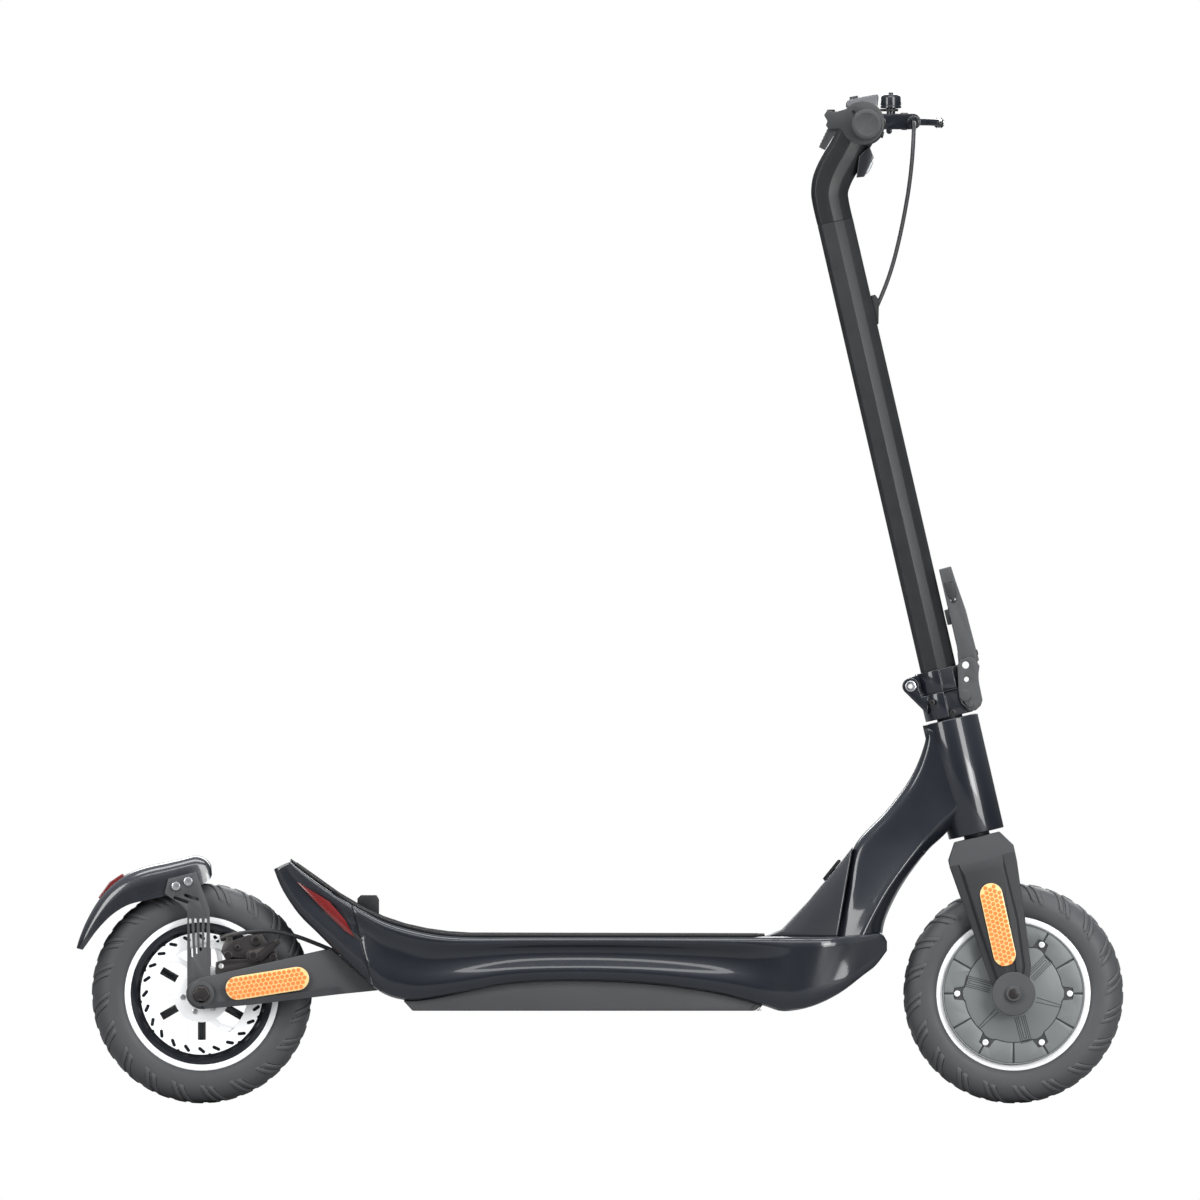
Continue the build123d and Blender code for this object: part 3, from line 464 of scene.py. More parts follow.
def bar_between(name, start, end, width, height):
    """A slim bar with rounded edges between two places in millimetres, lying on a flank."""
    start, end = Vector(start) / 1000, Vector(end) / 1000
    run = end - start
    bar = added(name, bpy.ops.mesh.primitive_cube_add, size=1, location=(start + end) / 2)
    bar.scale = (width / 1000, height / 1000, run.length)
    bar.rotation_euler = run.to_track_quat("Z", "Y").to_euler()
    settle(bar)
    rounded(bar, 0.35 * min(width, height) / 1000, 2)
    return bar


def joined(name, pieces):
    """Several meshes made one piece."""
    only(pieces[0])
    for piece in pieces:
        piece.select_set(True)
    if len(pieces) > 1:
        bpy.ops.object.join()
    pieces[0].name = name
    return pieces[0]


vents = []
for side in (-1, 1):
    for lift in range(3):
        start = (-346 + 14 * lift, 227 - 2 * lift)
        end = (-284 + 5 * lift, 164 + 12 * lift)
        ends = [(x, side * (half_width(x) - 3.6), z) for x, z in (start, end)]
        vents.append(bar_between("vent", *ends, 2.6, 4.4))
fit(joined("tail_vents", vents), "frame", vent_black)


# ------------------------------------------------------------------ foot mat and catch block
# A moulded rubber mat is glued on the deck, with raised ribs that run its whole length for grip.
# The catch block at its back is tough black plastic, screwed down through the mat, and holds the folded stem.
def finished_copy(node, body, material, edge, segments=2, angle=30, shading=40):
    """A CAD piece with its triangles merged into whole faces and its edges rounded, standing for the node."""
    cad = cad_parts[node]
    piece = bpy.data.objects.new(node + "_finished", cad.data.copy())
    bpy.context.scene.collection.objects.link(piece)
    only(piece)
    if piece.data.has_custom_normals:
        bpy.ops.mesh.customdata_custom_splitnormals_clear()
    edit(
        piece,
        (bpy.ops.mesh.remove_doubles, {"threshold": 2e-6}),
        (bpy.ops.mesh.dissolve_limited, {"angle_limit": radians(0.6)}),
    )
    if edge:
        rounded(piece, edge / 1000, segments, angle)
    smooth(piece, shading)
    return fit(piece, body, material, [node])


def moulded(name, color, roughness, grain_scale=1600.0, grain_height=0.00004, **values):
    """A plastic or rubber material with the fine spark-eroded grain of its mould."""
    return painted(name, color, roughness, grain_scale=grain_scale, grain_height=grain_height, **values)


mat_rubber = moulded(
    "mat_rubber", (0.012, 0.012, 0.013), 0.72, mottle=0.5, wear=0.4, worn_color=(0.06, 0.06, 0.06), smudge=0.2
)
finished_copy("deck_mat", "frame", mat_rubber, 0.8)
mat_top = [
    (-350, 278.5), (-330, 263.7), (-300, 242.2), (-275, 227.6), (-250, 215.6), (-225, 207.2),
    (-200, 201.6), (-175, 198.1), (-150, 196.5), (182, 196.5),
]
rib_pitch = 8.6
rib_width = 2.4
rib_height = 0.9
tail_half_width = 52
catch_half_width = 15
catch_front = -252
mat_ribs = []
for index in range(-8, 9):
    y = rib_pitch * index
    path = mat_top[1:] if abs(y) > tail_half_width else mat_top
    sections = []
    for row, (x, z) in enumerate(path):
        fade = 0.15 if row in (0, len(path) - 1) else 1.0
        low, high = z - 0.4, z + rib_height * fade
        sections.append([
            (x, y - rib_width / 2, low), (x, y - rib_width / 3, high),
            (x, y + rib_width / 3, high), (x, y + rib_width / 2, low),
        ])
    if abs(y) < catch_half_width:
        sections = sections[sum(x <= catch_front for x, z in path):]
    mat_ribs.append(loft("mat_rib", sections))
mat_ribs = joined("mat_ribs", mat_ribs)
smooth(mat_ribs, 30)
fit(mat_ribs, "frame", mat_rubber)
block_plastic = moulded("block_plastic", (0.016, 0.016, 0.018), 0.42, wear=0.4, worn_color=(0.08, 0.08, 0.08))
finished_copy("fold_catch", "frame", block_plastic, 0.7, 3)

# ------------------------------------------------------------------ battery tray
# A pressed tray of matt charcoal-painted aluminium closes the battery bay from below.
# Small flush screws hold its rim, and two narrow slanted joints cross its right side near the front.
charcoal = painted(
    "matt_charcoal_paint", (0.052, 0.053, 0.056), 0.55, grain_scale=1100.0, grain_height=0.000025,
    mottle=0.25, wear=0.35, worn_color=(0.14, 0.14, 0.145), smudge=0.12,
)
charcoal_dark = painted(
    "matt_dark_paint", (0.020, 0.021, 0.023), 0.5, grain_scale=1100.0, grain_height=0.00002,
    mottle=0.3, wear=0.35, worn_color=(0.09, 0.09, 0.1), smudge=0.12,
)
finished_copy("battery_cover", "frame", charcoal, 1.6, 3)


def screw(name, place, toward, radius, height):
    """A round-headed screw with a hexagon socket, its head towards a side."""
    cylinder, deep = bpy.ops.mesh.primitive_cylinder_add, height / 1000
    head = added(name, cylinder, vertices=32, radius=radius / 1000, depth=deep)
    with_modifier(head, "BEVEL", width=0.25 * deep, segments=2, limit_method="ANGLE")
    socket = added("socket", cylinder, vertices=6, radius=0.5 * radius / 1000, depth=deep)
    socket.location = (0, 0, 0.45 * deep)
    with_modifier(head, "BOOLEAN", operation="DIFFERENCE", object=socket)
    bpy.data.objects.remove(socket)
    head.rotation_euler = Vector(toward).to_track_quat("Z", "Y").to_euler()
    head.location = Vector(place) / 1000 + Vector(toward).normalized() * height / 2000
    settle(head)
    smooth(head, 35)
    return head


bright_steel = painted(
    "bright_steel", (0.55, 0.56, 0.58), 0.28, metallic=1.0, grain_scale=2600.0, grain_height=0.00001,
    mottle=0.25, smudge=0.15, wear=0.2, worn_color=(0.8, 0.8, 0.8),
)
dark_steel = painted(
    "blackened_steel", (0.035, 0.032, 0.032), 0.36, metallic=0.6, grain_scale=1800.0, grain_height=0.00002,
    mottle=0.4, smudge=0.15, wear=0.6, worn_color=(0.25, 0.22, 0.2),
)
tray_screws = [
    screw("tray_screw", (x, side * 73.0, 108.5), (0, 0, -1), 3.4, 0.4)
    for x in range(-195, 190, 54) for side in (-1, 1)
]
tray_seams = [
    bar_between("tray_seam", (x - 4, -80.1, 108.4), (x + 6, -80.1, 121), 0.9, 0.7) for x in (177, 186)
]
fit(joined("tray_screws", tray_screws), "frame", dark_steel)
fit(joined("tray_seams", tray_seams), "frame", vent_black)

# ------------------------------------------------------------------ down tube
# The down tube is a hollow casting welded to the head tube, in the same gloss paint as the deck.
# A ridge runs up each side from the deck to the head tube and splits the light side face from the dark one.
tube_ribs = [
    # rear edge, ridge, front edge (x, z), then the half widths at the rear, the ridge and the front
    ((268, 190), (300, 190), (325, 190), 48, 60, 40),
    ((276, 214), (312, 214), (330, 215), 45, 55.5, 36),
    ((283, 246), (334, 252), (349, 253), 41, 47.0, 31),
    ((293, 297), (368, 297), (377, 291), 33, 35.5, 24),
    ((331, 339), (394, 326), (399, 312), 29, 30.8, 20),
    ((360, 379), (417, 352), (410, 330), 26, 28.6, 18),
    ((375.5, 419), (404, 400), (404, 370), 24, 27.2, 16),
    ((374, 435.5), (398, 428), (398, 400), 23, 26.0, 15),
]


def tube_section(rib):
    """One closed ring of the tube: a rear face, a ridge down each side and a narrower front face."""
    rear, ridge, front, rear_width, ridge_width, front_width = rib
    half = [
        (*rear, 0.0),
        (*rear, rear_width * 0.72),
        (*between(rear, ridge, 0.07), rear_width * 0.93),
        (*between(rear, ridge, 0.16), rear_width),
        (*between(rear, ridge, 0.5), (rear_width + ridge_width) / 2 - 0.8),
        (*between(rear, ridge, 0.9), ridge_width - 0.5),
        (*ridge, ridge_width),
        (*between(ridge, front, 0.15), ridge_width - 1.5),
        (*between(ridge, front, 0.85), front_width * 1.1),
        (*front, front_width * 0.8),
        (*front, 0.0),
    ]
    ring = [(x, y, z) for x, z, y in half]
    return ring + [(x, -y, z) for x, y, z in reversed(ring[1:-1])]


down_tube = loft("down_tube_shell", smoothed([tube_section(rib) for rib in tube_ribs], 5))
with_modifier(down_tube, "SUBSURF", levels=1, render_levels=1)
smooth(down_tube, 50)
fit(down_tube, "frame", gloss_black, ["down_tube"])
tube_plugs = [
    screw("tube_plug", (x, side * width * 0.86, z), (0.35, side, -0.3), 3.0, 1.2)
    for x, z, width in ((372, 290, 31), (334, 238, 42)) for side in (-1, 1)
]
fit(joined("tube_plugs", tube_plugs), "frame", dark_steel)

# ------------------------------------------------------------------ foot cover and charge cap
# A moulded cover in black plastic fills the corner between deck and down tube and holds the charge socket.
# The socket's soft rubber cap hangs from a moulded hinge on its upper edge.
satin_plastic = moulded(
    "satin_plastic", (0.015, 0.0165, 0.02), 0.3, coat=0.4, worn_color=(0.05, 0.05, 0.06),
    grain_scale=1000.0, grain_height=0.00001,
)
finished_copy("foot_cover", "frame", satin_plastic, 2.2, 3)
finished_copy("charge_flap", "charge_cap", mat_rubber, 0.6)

# ------------------------------------------------------------------ head tube and bearings
# The head tube is turned aluminium, painted gloss black, with pressed bearing cups at both ends.
# Two small screws stand on each side of its front face.
finished_copy("head_tube", "frame", gloss_black, 1.2, 3)


def refinish(node, material):
    """A better material on a CAD piece whose shape is already right."""
    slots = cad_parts[node].data.materials
    slots.clear()
    slots.append(material)


refinish("headset_bearings", bright_steel)
head_screws = [
    screw("head_screw", (x, side * 22.6, z), (0.55, side * 0.83, 0.12), 2.2, 1.2)
    for x, z in ((437.5, 390), (448.5, 341)) for side in (-1, 1)
]
fit(joined("head_screws", head_screws), "frame", dark_steel)


def plate(name, outline, y_low, y_high):
    """A flat plate with a side-view outline (x, z) between two values of Y, in millimetres."""
    circle = bpy.ops.mesh.primitive_circle_add
    piece = added(name, circle, vertices=len(outline), radius=1, fill_type="NGON")
    for vertex, (x, z) in zip(piece.data.vertices, outline):
        vertex.co = Vector((x, y_low, z)) / 1000
    move = {"value": (0, (y_high - y_low) / 1000, 0)}
    edit(piece, (bpy.ops.mesh.extrude_region_move, {"TRANSFORM_OT_translate": move}))
    edit(piece, (bpy.ops.mesh.normals_make_consistent, {"inside": False}))
    return piece


def stadium(start, end, radius, steps=14):
    """The outline of a slot with round ends."""
    turn = atan2(end[1] - start[1], end[0] - start[0])
    points = []
    for centre, first in ((end, turn - pi / 2), (start, turn + pi / 2)):
        for index in range(steps + 1):
            angle = first + pi * index / steps
            points.append((centre[0] + radius * cos(angle), centre[1] + radius * sin(angle)))
    return points


# ------------------------------------------------------------------ rear arms and side reflectors
# Two cast aluminium arms run from the deck to the rear axle, painted matt charcoal with a chamfered top.
# Each carries a prismatic reflector: orange cells moulded in a pale honeycomb, stuck in a shallow rim.
finished_copy("rear_arms", "frame", charcoal, 0.9, 3)
# A thin sheet of the darker paint lies along the lower edge of each arm: painted shade under the arm.
lip_outline = [(-457, 110.2), (-400, 115.2), (-300, 127.2), (-300, 135.2), (-400, 122.8), (-457, 116.6)]
arm_shade_strips = [plate("arm_shade_strip", lip_outline, side * 64.0, side * 64.6) for side in (-1, 1)]
fit(joined("arm_shade_strips", arm_shade_strips), "frame", charcoal_dark)

lens_orange = painted(
    "lens_orange", (0.80, 0.19, 0.03), 0.32, coat=0.6, mottle=0.15, wear=0.2, worn_color=(1.0, 0.6, 0.3),
    grain_scale=600.0,
)
lens_cream = painted(
    "lens_cream", (0.84, 0.55, 0.23), 0.3, coat=0.6, mottle=0.1, wear=0.1, worn_color=(1.0, 0.8, 0.5)
)
cell_pitch = 5.6
row_pitch = cell_pitch * 0.866
back_depth = 2.4
cell_radius = 2.45
cell_height = 0.5


def reflector(name, node, body, start, end, radius, face_y):
    """Both reflectors of a pair: a cream plate with a rim, under a honeycomb of orange cells."""
    backs, cells = [], []
    run = hypot(end[0] - start[0], end[1] - start[1])
    turn = atan2(end[1] - start[1], end[0] - start[0])
    for side in (-1, 1):
        back = plate(name + "_back", stadium(start, end, radius), side * face_y, side * (face_y + back_depth))
        rounded(back, 0.0006, 2)
        backs.append(back)
        rows = int(radius / row_pitch)
        for row in range(-rows, rows + 1):
            across = row * row_pitch
            for column in range(-int(radius / cell_pitch) - 1, int((run + radius) / cell_pitch) + 2):
                along = (column + 0.5 * (row % 2)) * cell_pitch
                past_end = max(0.0, -along, along - run)
                if hypot(past_end, across) > radius - cell_radius * 0.75:
                    continue
                x = start[0] + along * cos(turn) - across * sin(turn)
                z = start[1] + along * sin(turn) + across * cos(turn)
                place = Vector((x, side * (face_y + back_depth + cell_height * 0.4), z)) / 1000
                cells.append(added(
                    name + "_cell", bpy.ops.mesh.primitive_cylinder_add, location=place, vertices=8,
                    radius=cell_radius / 1000, depth=cell_height / 1000, rotation=(pi / 2, turn, 0),
                ))
    backs = joined(name + "_backs", backs)
    smooth(backs)
    cells = joined(name + "_cells", cells)
    settle(cells)
    rounded(cells, 0.00018, 1, 60)
    smooth(cells, 30)
    fit(backs, body, lens_cream, [node])
    fit(cells, body, lens_orange)


reflector("arm_reflector", "arm_reflectors", "frame", (-418, 134), (-349, 145), 13.6, 64.0)

# ------------------------------------------------------------------ rear axle
# A steel axle runs through both arms, and the wheel turns on it on its bearings.
# Flanged nuts over round washers hold it at both ends.
finished_copy("rear_axle", "frame", dark_steel, 0.3)
finished_copy("rear_axle_nuts", "frame", dark_steel, 0.5)
axle_washers = [
    screw("axle_washer", (-459.5, side * 64.0, 127.5), (0, side, 0), 14.5, 0.9) for side in (-1, 1)
]
fit(joined("axle_washers", axle_washers), "frame", charcoal)

# ------------------------------------------------------------------ rear mudguard
# The mudguard is injection-moulded black plastic, an arch over the tyre with rounded shoulders.
# Two screws on each side fix it to the pressed stays, and a red lamp is let into its tail.
# Two more red lights, one on each side, sit in the end of the deck.
guard_ribs = [
    ((-604, 180), (-597, 178), 40),
    ((-600, 193), (-592, 185), 43),
    ((-592, 212), (-581, 200), 44.5),
    ((-580, 233), (-568, 214), 45),
    ((-566, 250), (-555, 224), 45),
    ((-548, 264), (-541, 231), 45),
    ((-525, 273.5), (-522, 235.5), 45),
    ((-500, 279), (-500, 240.5), 44.5),
    ((-480, 283.5), (-480, 246.5), 42),
    ((-466, 286.5), (-463, 251), 38),
    ((-455, 283), (-451, 259), 34),
    ((-449, 276), (-448, 264.5), 31),
]
wall = 2.6


def guard_section(rib):
    """A ring round the wall of the arch: over the outside, then back under the inside."""
    top, low, width = rib
    profile = [(1.0, 1.0), (0.55, 1.0), (0.28, 0.97), (0.10, 0.88), (0.02, 0.72), (0.0, 0.45), (0.0, 0.0)]
    half = []
    for down, out in profile:
        x, z = between(top, low, down)
        half.append((x, width * out, z))
    depth = max(hypot(low[0] - top[0], low[1] - top[1]), 1.0)
    for down, out in reversed(profile):
        x, z = between(top, low, min(1.0, down * (1 - wall / depth) + wall / depth))
        half.append((x, max(0.0, width * out - (wall if out > 0.3 else 0.0)), z))
    return mirrored(half)


guard = loft("mudguard_shell", smoothed([guard_section(rib) for rib in guard_ribs], 4))
welded(guard, 2e-5)
smooth(guard, 55)
gloss_plastic = painted(
    "gloss_plastic", (0.012, 0.0135, 0.018), 0.28, coat=0.9, coat_roughness=0.08,
    worn_color=(0.05, 0.055, 0.06), smudge=0.15, grain_scale=500.0, grain_height=0.000008,
)
fit(guard, "frame", gloss_plastic, ["fender"])
red_lens = moulded(
    "red_lens", (0.13, 0.006, 0.006), 0.18, coat=1.0, mottle=0.5, wear=0.5, worn_color=(0.55, 0.12, 0.1),
    grain_scale=300.0,
)
finished_copy("tail_lamp", "frame", red_lens, 1.0, 3)
finished_copy("tail_lights", "frame", red_lens, 0.4)
finished_copy("fender_stays", "frame", charcoal, 0.3)
finished_copy("fender_screws", "frame", bright_steel, 0.5)

# ------------------------------------------------------------------ rear disc brake
# A cable-pulled caliper in blackened steel and cast alloy grips the rotor from both sides.
# Its arm turns on a pivot bolt, and round-headed bolts hold the halves of the body together.
finished_copy("caliper_body", "frame", dark_steel, 0.5)
finished_copy("caliper_arm", "caliper_lever", dark_steel, 0.5)
bolt_places = ((-397, 189, 5.6), (-429, 172, 4.2), (-377, 170, 4.2), (-418, 181, 3.4), (-386, 175, 3.0))
caliper_bolts = [
    screw("caliper_bolt", (x, -45.8, z), (0, -1, 0), radius, 3.2) for x, z, radius in bolt_places
]
fit(joined("caliper_bolts", caliper_bolts), "frame", dark_steel)
pivot_bolt = screw("caliper_pivot_bolt", (-400, -52.4, 171), (0, -1, 0), 5.2, 1.8)
fit(pivot_bolt, "frame", dark_steel)

# ------------------------------------------------------------------ rear wheel
# The rear wheel is a cast aluminium rim with six ribbed spokes, gloss black, turning on sealed bearings.
# A white ring round the edge of the rim is painted reflection of its bright lip, and the laser-cut steel
# rotor, coloured near white as painted reflection, is bolted to the hub.
finished_copy("rear_rim", "rear_wheel", gloss_black, 0.8, 2, 35)
finished_copy("rear_bearings", "rear_wheel", bright_steel, 0.3)
# The rotor's steel is coloured near white and hardly metallic: painted reflection of its bright faces.
rotor_steel_reflection = painted(
    "rotor_steel_reflection", (0.94, 0.945, 0.95), 0.4, metallic=0.1, mottle=0.12, wear=0.1,
    worn_color=(0.95, 0.95, 0.95), grain_scale=3000.0, grain_height=0.000006,
)
# Near-white paint for the ring at the rim's edge: painted reflection of a bright machined lip.
rim_lip_reflection = painted(
    "rim_lip_painted_reflection", (0.93, 0.93, 0.935), 0.35, mottle=0.06, wear=0.1, worn_color=(0.9, 0.9, 0.9),
    grain_height=0.00001,
)
rear_centre = (-459.5, 127.5)
front_centre = (477.0, 127.5)


def spun(name, profile, centre, steps=128):
    """A ring about an axle from a closed outline of (radius, y) points in millimetres."""
    circle = bpy.ops.mesh.primitive_circle_add
    piece = added(name, circle, vertices=len(profile), radius=1, fill_type="NOTHING")
    middle = Vector((centre[0] / 1000, 0.0, centre[1] / 1000))
    for vertex, (radius, y) in zip(piece.data.vertices, profile):
        vertex.co = middle + Vector((radius / 1000, y / 1000, 0.0))
    turn = {"steps": steps, "angle": 2 * pi, "center": middle, "axis": (0.0, 1.0, 0.0)}
    edit(piece, (bpy.ops.mesh.spin, turn))
    welded(piece, 1e-6)
    return piece


def both_sides(name, outline, centre, steps=128):
    """A ring and its mirror image on the other side of a wheel or bar, made one piece."""
    rings = [spun(name, [(radius, side * y) for radius, y in outline], centre, steps) for side in (-1, 1)]
    return joined(name, rings)


def white_rings(name, centre, body):
    """The white ring on both sides of a rim, a thin band with rounded edges painted as the reflection of a
    bright lip.
    """
    band = [(82.0, 23.6), (82.2, 24.6), (83.0, 25.0), (88.4, 25.2), (89.0, 24.8), (89.2, 23.6)]
    rings = both_sides(name, band, centre)
    smooth(rings, 50)
    fit(rings, body, rim_lip_reflection)


white_rings("rear_white_rings", rear_centre, "rear_wheel")
# The rim's inner wall, seen dark through the rotor
wall_outline = [
    (57.5, -16.0), (58.5, -18.0), (70.0, -19.0), (79.0, -22.0),
    (79.0, 22.0), (70.0, 19.0), (58.5, 18.0), (57.5, 16.0),
]
rim_wall = spun("rear_rim_wall", wall_outline, rear_centre)
smooth(rim_wall, 40)
fit(rim_wall, "rear_wheel", gloss_black)
rotor_faces = (-35.2, -33.2)
cut_faces = (-38.0, -31.0)
degrees_per_radian = 57.3


def around_rear(radius, angle):
    """A place (x, z) at a radius and an angle in degrees about the rear axle."""
    return (rear_centre[0] + radius * cos(radians(angle)), rear_centre[1] + radius * sin(radians(angle)))


band = spun("rotor_band", [(53.5, -35.2), (70.4, -35.2), (70.4, -33.2), (53.5, -33.2)], rear_centre, 144)
cutters = []
for index in range(24):
    angle = 15 * index
    outline = stadium(around_rear(63.4, angle - 2.0), around_rear(67.2, angle + 2.0), 1.9, 5)
    cutters.append(plate("rotor_slot", outline, *cut_faces))
for index in range(12):
    turn = 30 * index + 7.5
    outline = stadium(around_rear(70.6, turn), around_rear(72.6, turn + 2.0), 1.5, 5)
    cutters.append(plate("rotor_notch", outline, *cut_faces))
cutter = joined("rotor_cutter", cutters)
with_modifier(band, "BOOLEAN", operation="DIFFERENCE", object=cutter, solver="EXACT")
bpy.data.objects.remove(cutter)
rotor_arms = [band]
for index in range(6):
    first = 60 * index - 10
    edges = []
    for half in (-1, 1):
        edge = []
        for step in range(7):
            share = step / 6
            radius = 29 + 26 * share
            width = 4.6 - 1.6 * sin(pi * share)
            edge.append(around_rear(radius, first + 20 * share + half * width / radius * degrees_per_radian))
        edges.append(edge[::half])
    rotor_arms.append(plate("rotor_arm", edges[1] + edges[0], *rotor_faces))
rotor = joined("slotted_rotor", rotor_arms)
rounded(rotor, 0.0002, 1, 50)
smooth(rotor, 30)
fit(rotor, "rear_wheel", rotor_steel_reflection, ["brake_rotor"])
hub_disc = [(14.5, -36.4), (32.0, -36.4), (33.0, -35.8), (33.0, -35.3), (14.5, -35.3)]
hub_plate = spun("rotor_carrier", hub_disc, rear_centre, 96)
smooth(hub_plate, 40)
fit(hub_plate, "rear_wheel", rotor_steel_reflection)
bolt_circle = 22
rotor_bolts = []
for index in range(6):
    angle = radians(60 * index + 10)
    place = (rear_centre[0] + bolt_circle * cos(angle), -36.4, rear_centre[1] + bolt_circle * sin(angle))
    rotor_bolts.append(screw("rotor_bolt", place, (0, -1, 0), 3.2, 1.6))
fit(joined("rotor_bolts", rotor_bolts), "rear_wheel", bright_steel)
spoke_ribs = []
for index in range(6):
    angle = radians(90 + 60 * index)
    for offset in (-2.6, 2.6):
        for side in (-8.1, 8.1):
            ends = []
            for radius in (35, 73):
                x = rear_centre[0] + radius * cos(angle) - offset * sin(angle)
                z = rear_centre[1] + radius * sin(angle) + offset * cos(angle)
                ends.append((x, side, z))
            spoke_ribs.append(bar_between("spoke_rib", *ends, 1.2, 1.2))
fit(joined("spoke_ribs", spoke_ribs), "rear_wheel", charcoal)

# ------------------------------------------------------------------ tyres
# Both tyres are moulded rubber of the ten-inch class with a smooth side wall.
# Slanted bars stand on each shoulder in pairs, and a row of short blocks runs round each side of the crown.
tyre_rubber = painted(
    "tyre_rubber", (0.060, 0.061, 0.064), 0.55, mottle=0.35, wear=0.5, worn_color=(0.11, 0.11, 0.11),
    smudge=0.2, grain_height=0.00006,
)
# The carcass from bead to crown: radius and half width, kept a bar's height under the full size
carcass = [
    (88.6, 22.0), (88.8, 24.5), (91.0, 27.2), (96.0, 29.3), (104.0, 30.0), (111.0, 28.8),
    (117.0, 25.6), (121.5, 21.0), (124.2, 15.0), (125.6, 8.0), (126.0, 0.0),
]
bar_height = 1.4


def along_shoulder(share):
    """A point of the shoulder line and its outward direction: 0 at the side wall, 1 near the crown."""
    line = carcass[4:]
    place = share * (len(line) - 1)
    index = min(int(place), len(line) - 2)
    part = place - index
    (r0, y0), (r1, y1) = line[index], line[index + 1]
    run = hypot(r1 - r0, y1 - y0)
    return (r0 + part * (r1 - r0), y0 + part * (y1 - y0)), (-(y1 - y0) / run, (r1 - r0) / run)


# Darker rubber for the low plates round the feet of the tread bars: painted shade.
tread_foot_shade = painted(
    "tread_foot_shade", (0.012, 0.012, 0.013), 0.75, mottle=0.3, wear=0.2, worn_color=(0.03, 0.03, 0.03),
    grain_height=0.00006,
)


def shoulder_bar(start_share, end_share, width, slant, lead, side, steps=7, height=bar_height):
    """One raised bar that leans round the tyre as it climbs the shoulder."""
    sections = []
    for step in range(steps + 1):
        t = step / steps
        (radius, y), (out_r, out_y) = along_shoulder(start_share + t * (end_share - start_share))
        turn = radians(lead + slant * t)
        raised = height * min(1.0, 0.25 + 4 * t)
        ring = []
        for sideways, lift in ((-0.5, -0.8), (-0.42, raised), (0.42, raised), (0.5, -0.8)):
            angle = turn + sideways * width / radius
            r = radius + out_r * lift
            ring.append((r * cos(angle), side * (y + out_y * lift), r * sin(angle)))
        sections.append(ring)
    return sections


def tyre(node, centre, body):
    """A tyre: its carcass, its raised tread bars and the dark rubber plates round their feet, which are
    painted shade.
    """
    ring = carcass + [(r, -y) for r, y in reversed(carcass[:-1])]
    inner = [(r, y * 0.86) for r, y in ((90.0, -22.0), (100.0, -26.0), (112.0, -22.0), (118.0, 0.0),
                                        (112.0, 22.0), (100.0, 26.0), (90.0, 22.0))]
    skin_ring = spun(node + "_carcass", smoothed_outline(ring) + inner, centre, 180)
    bars, bar_foot_shades = [], []
    pitches = 20
    for pitch in range(pitches):
        for side in (-1, 1):
            lead = 360 / pitches * (pitch + (0.5 if side > 0 else 0.0))
            for low, high, ahead in ((0.04, 0.76, 0.0), (0.08, 0.84, 5.0)):
                turn = lead + ahead
                bars.append(shoulder_bar(low, high, 6.0, 9.0, turn, side))
                # Under each bar lies a wider, lower plate of dark rubber, painted shade round its foot.
                bar_foot_shades.append(shoulder_bar(low - 0.02, high + 0.02, 8.0, 9.0, turn, side, height=0.35))
            bars.append(shoulder_bar(0.72, 0.99, 9.0, 4.0, lead + 13.0, side, 3, height=1.1))
    middle = Vector((centre[0], 0.0, centre[1]))
    treads = []
    for name, rows in (("_tread", bars), ("_grooves", bar_foot_shades)):
        placed = [[[Vector(p) + middle for p in ring] for ring in sections] for sections in rows]
        treads.append(joined(node + name, [loft("tread_bar", sections) for sections in placed]))
    rounded(treads[0], 0.0003, 1, 50)
    whole = joined(node + "_moulded", [skin_ring, treads[0]])
    smooth(whole, 42)
    fit(whole, body, tyre_rubber, [node])
    fit(treads[1], body, tread_foot_shade)


def smoothed_outline(points, steps=3):
    """A finer outline through the given points."""
    rows = [[(r, y)] for r, y in points]
    return [row[0] for row in smoothed(rows, steps)]


tyre("rear_tyre", rear_centre, "rear_wheel")
tyre("front_tyre", front_centre, "front_wheel")

# ------------------------------------------------------------------ front wheel motor
# The hub motor's shell is cast aluminium; grey side covers are screwed on through six bosses.
# Each cover has raised panels with narrow joints, nested lines in three places and a white ring at its rim,
# painted as the reflection of a bright lip.
motor_grey = painted(
    "motor_grey_paint", (0.155, 0.165, 0.165), 0.5, metallic=0.2, grain_scale=1300.0, grain_height=0.00002,
    mottle=0.15, wear=0.3, worn_color=(0.3, 0.3, 0.3), smudge=0.1,
)
joint_dark = painted(
    "motor_joint_paint", (0.03, 0.032, 0.034), 0.6, mottle=0.3, wear=0.2, grain_scale=1300.0
)
finished_copy("motor_shell", "front_wheel", gloss_black, 0.6)
base_outline = [(8.8, 24.0), (82.0, 24.0), (82.0, 27.5), (79.5, 29.6), (8.8, 29.6)]
cover_bases = both_sides("motor_cover_bases", base_outline, front_centre)
smooth(cover_bases)
fit(cover_bases, "front_wheel", joint_dark, ["motor_covers"])
stator_copper = painted(
    "stator_copper", (0.45, 0.2, 0.08), 0.4, metallic=1.0, worn_color=(0.6, 0.4, 0.2),
    grain_scale=700.0, grain_height=0.00008,
)
refinish("motor_stator", stator_copper)
white_rings("front_white_rings", front_centre, "front_wheel")
panel_y = 29.4
panel_thick = 1.8


def arc(radius, start, end, steps):
    """Points on a circle about the front axle, angles in degrees."""
    turns = [radians(start + (end - start) * step / steps) for step in range(steps + 1)]
    return [(front_centre[0] + radius * cos(a), front_centre[1] + radius * sin(a)) for a in turns]


def from_screw(angle):
    """How many degrees an angle is away from the nearest of the six screws."""
    return abs((angle + 30) % 60 - 30)


def cover_radius(angle):
    """Where the joint between the inner disc and the outer panels runs: it steps out at each screw."""
    if from_screw(angle) < 5:
        return 60.0
    if from_screw(angle) < 9:
        return 65.0 - from_screw(angle)
    return 56.0


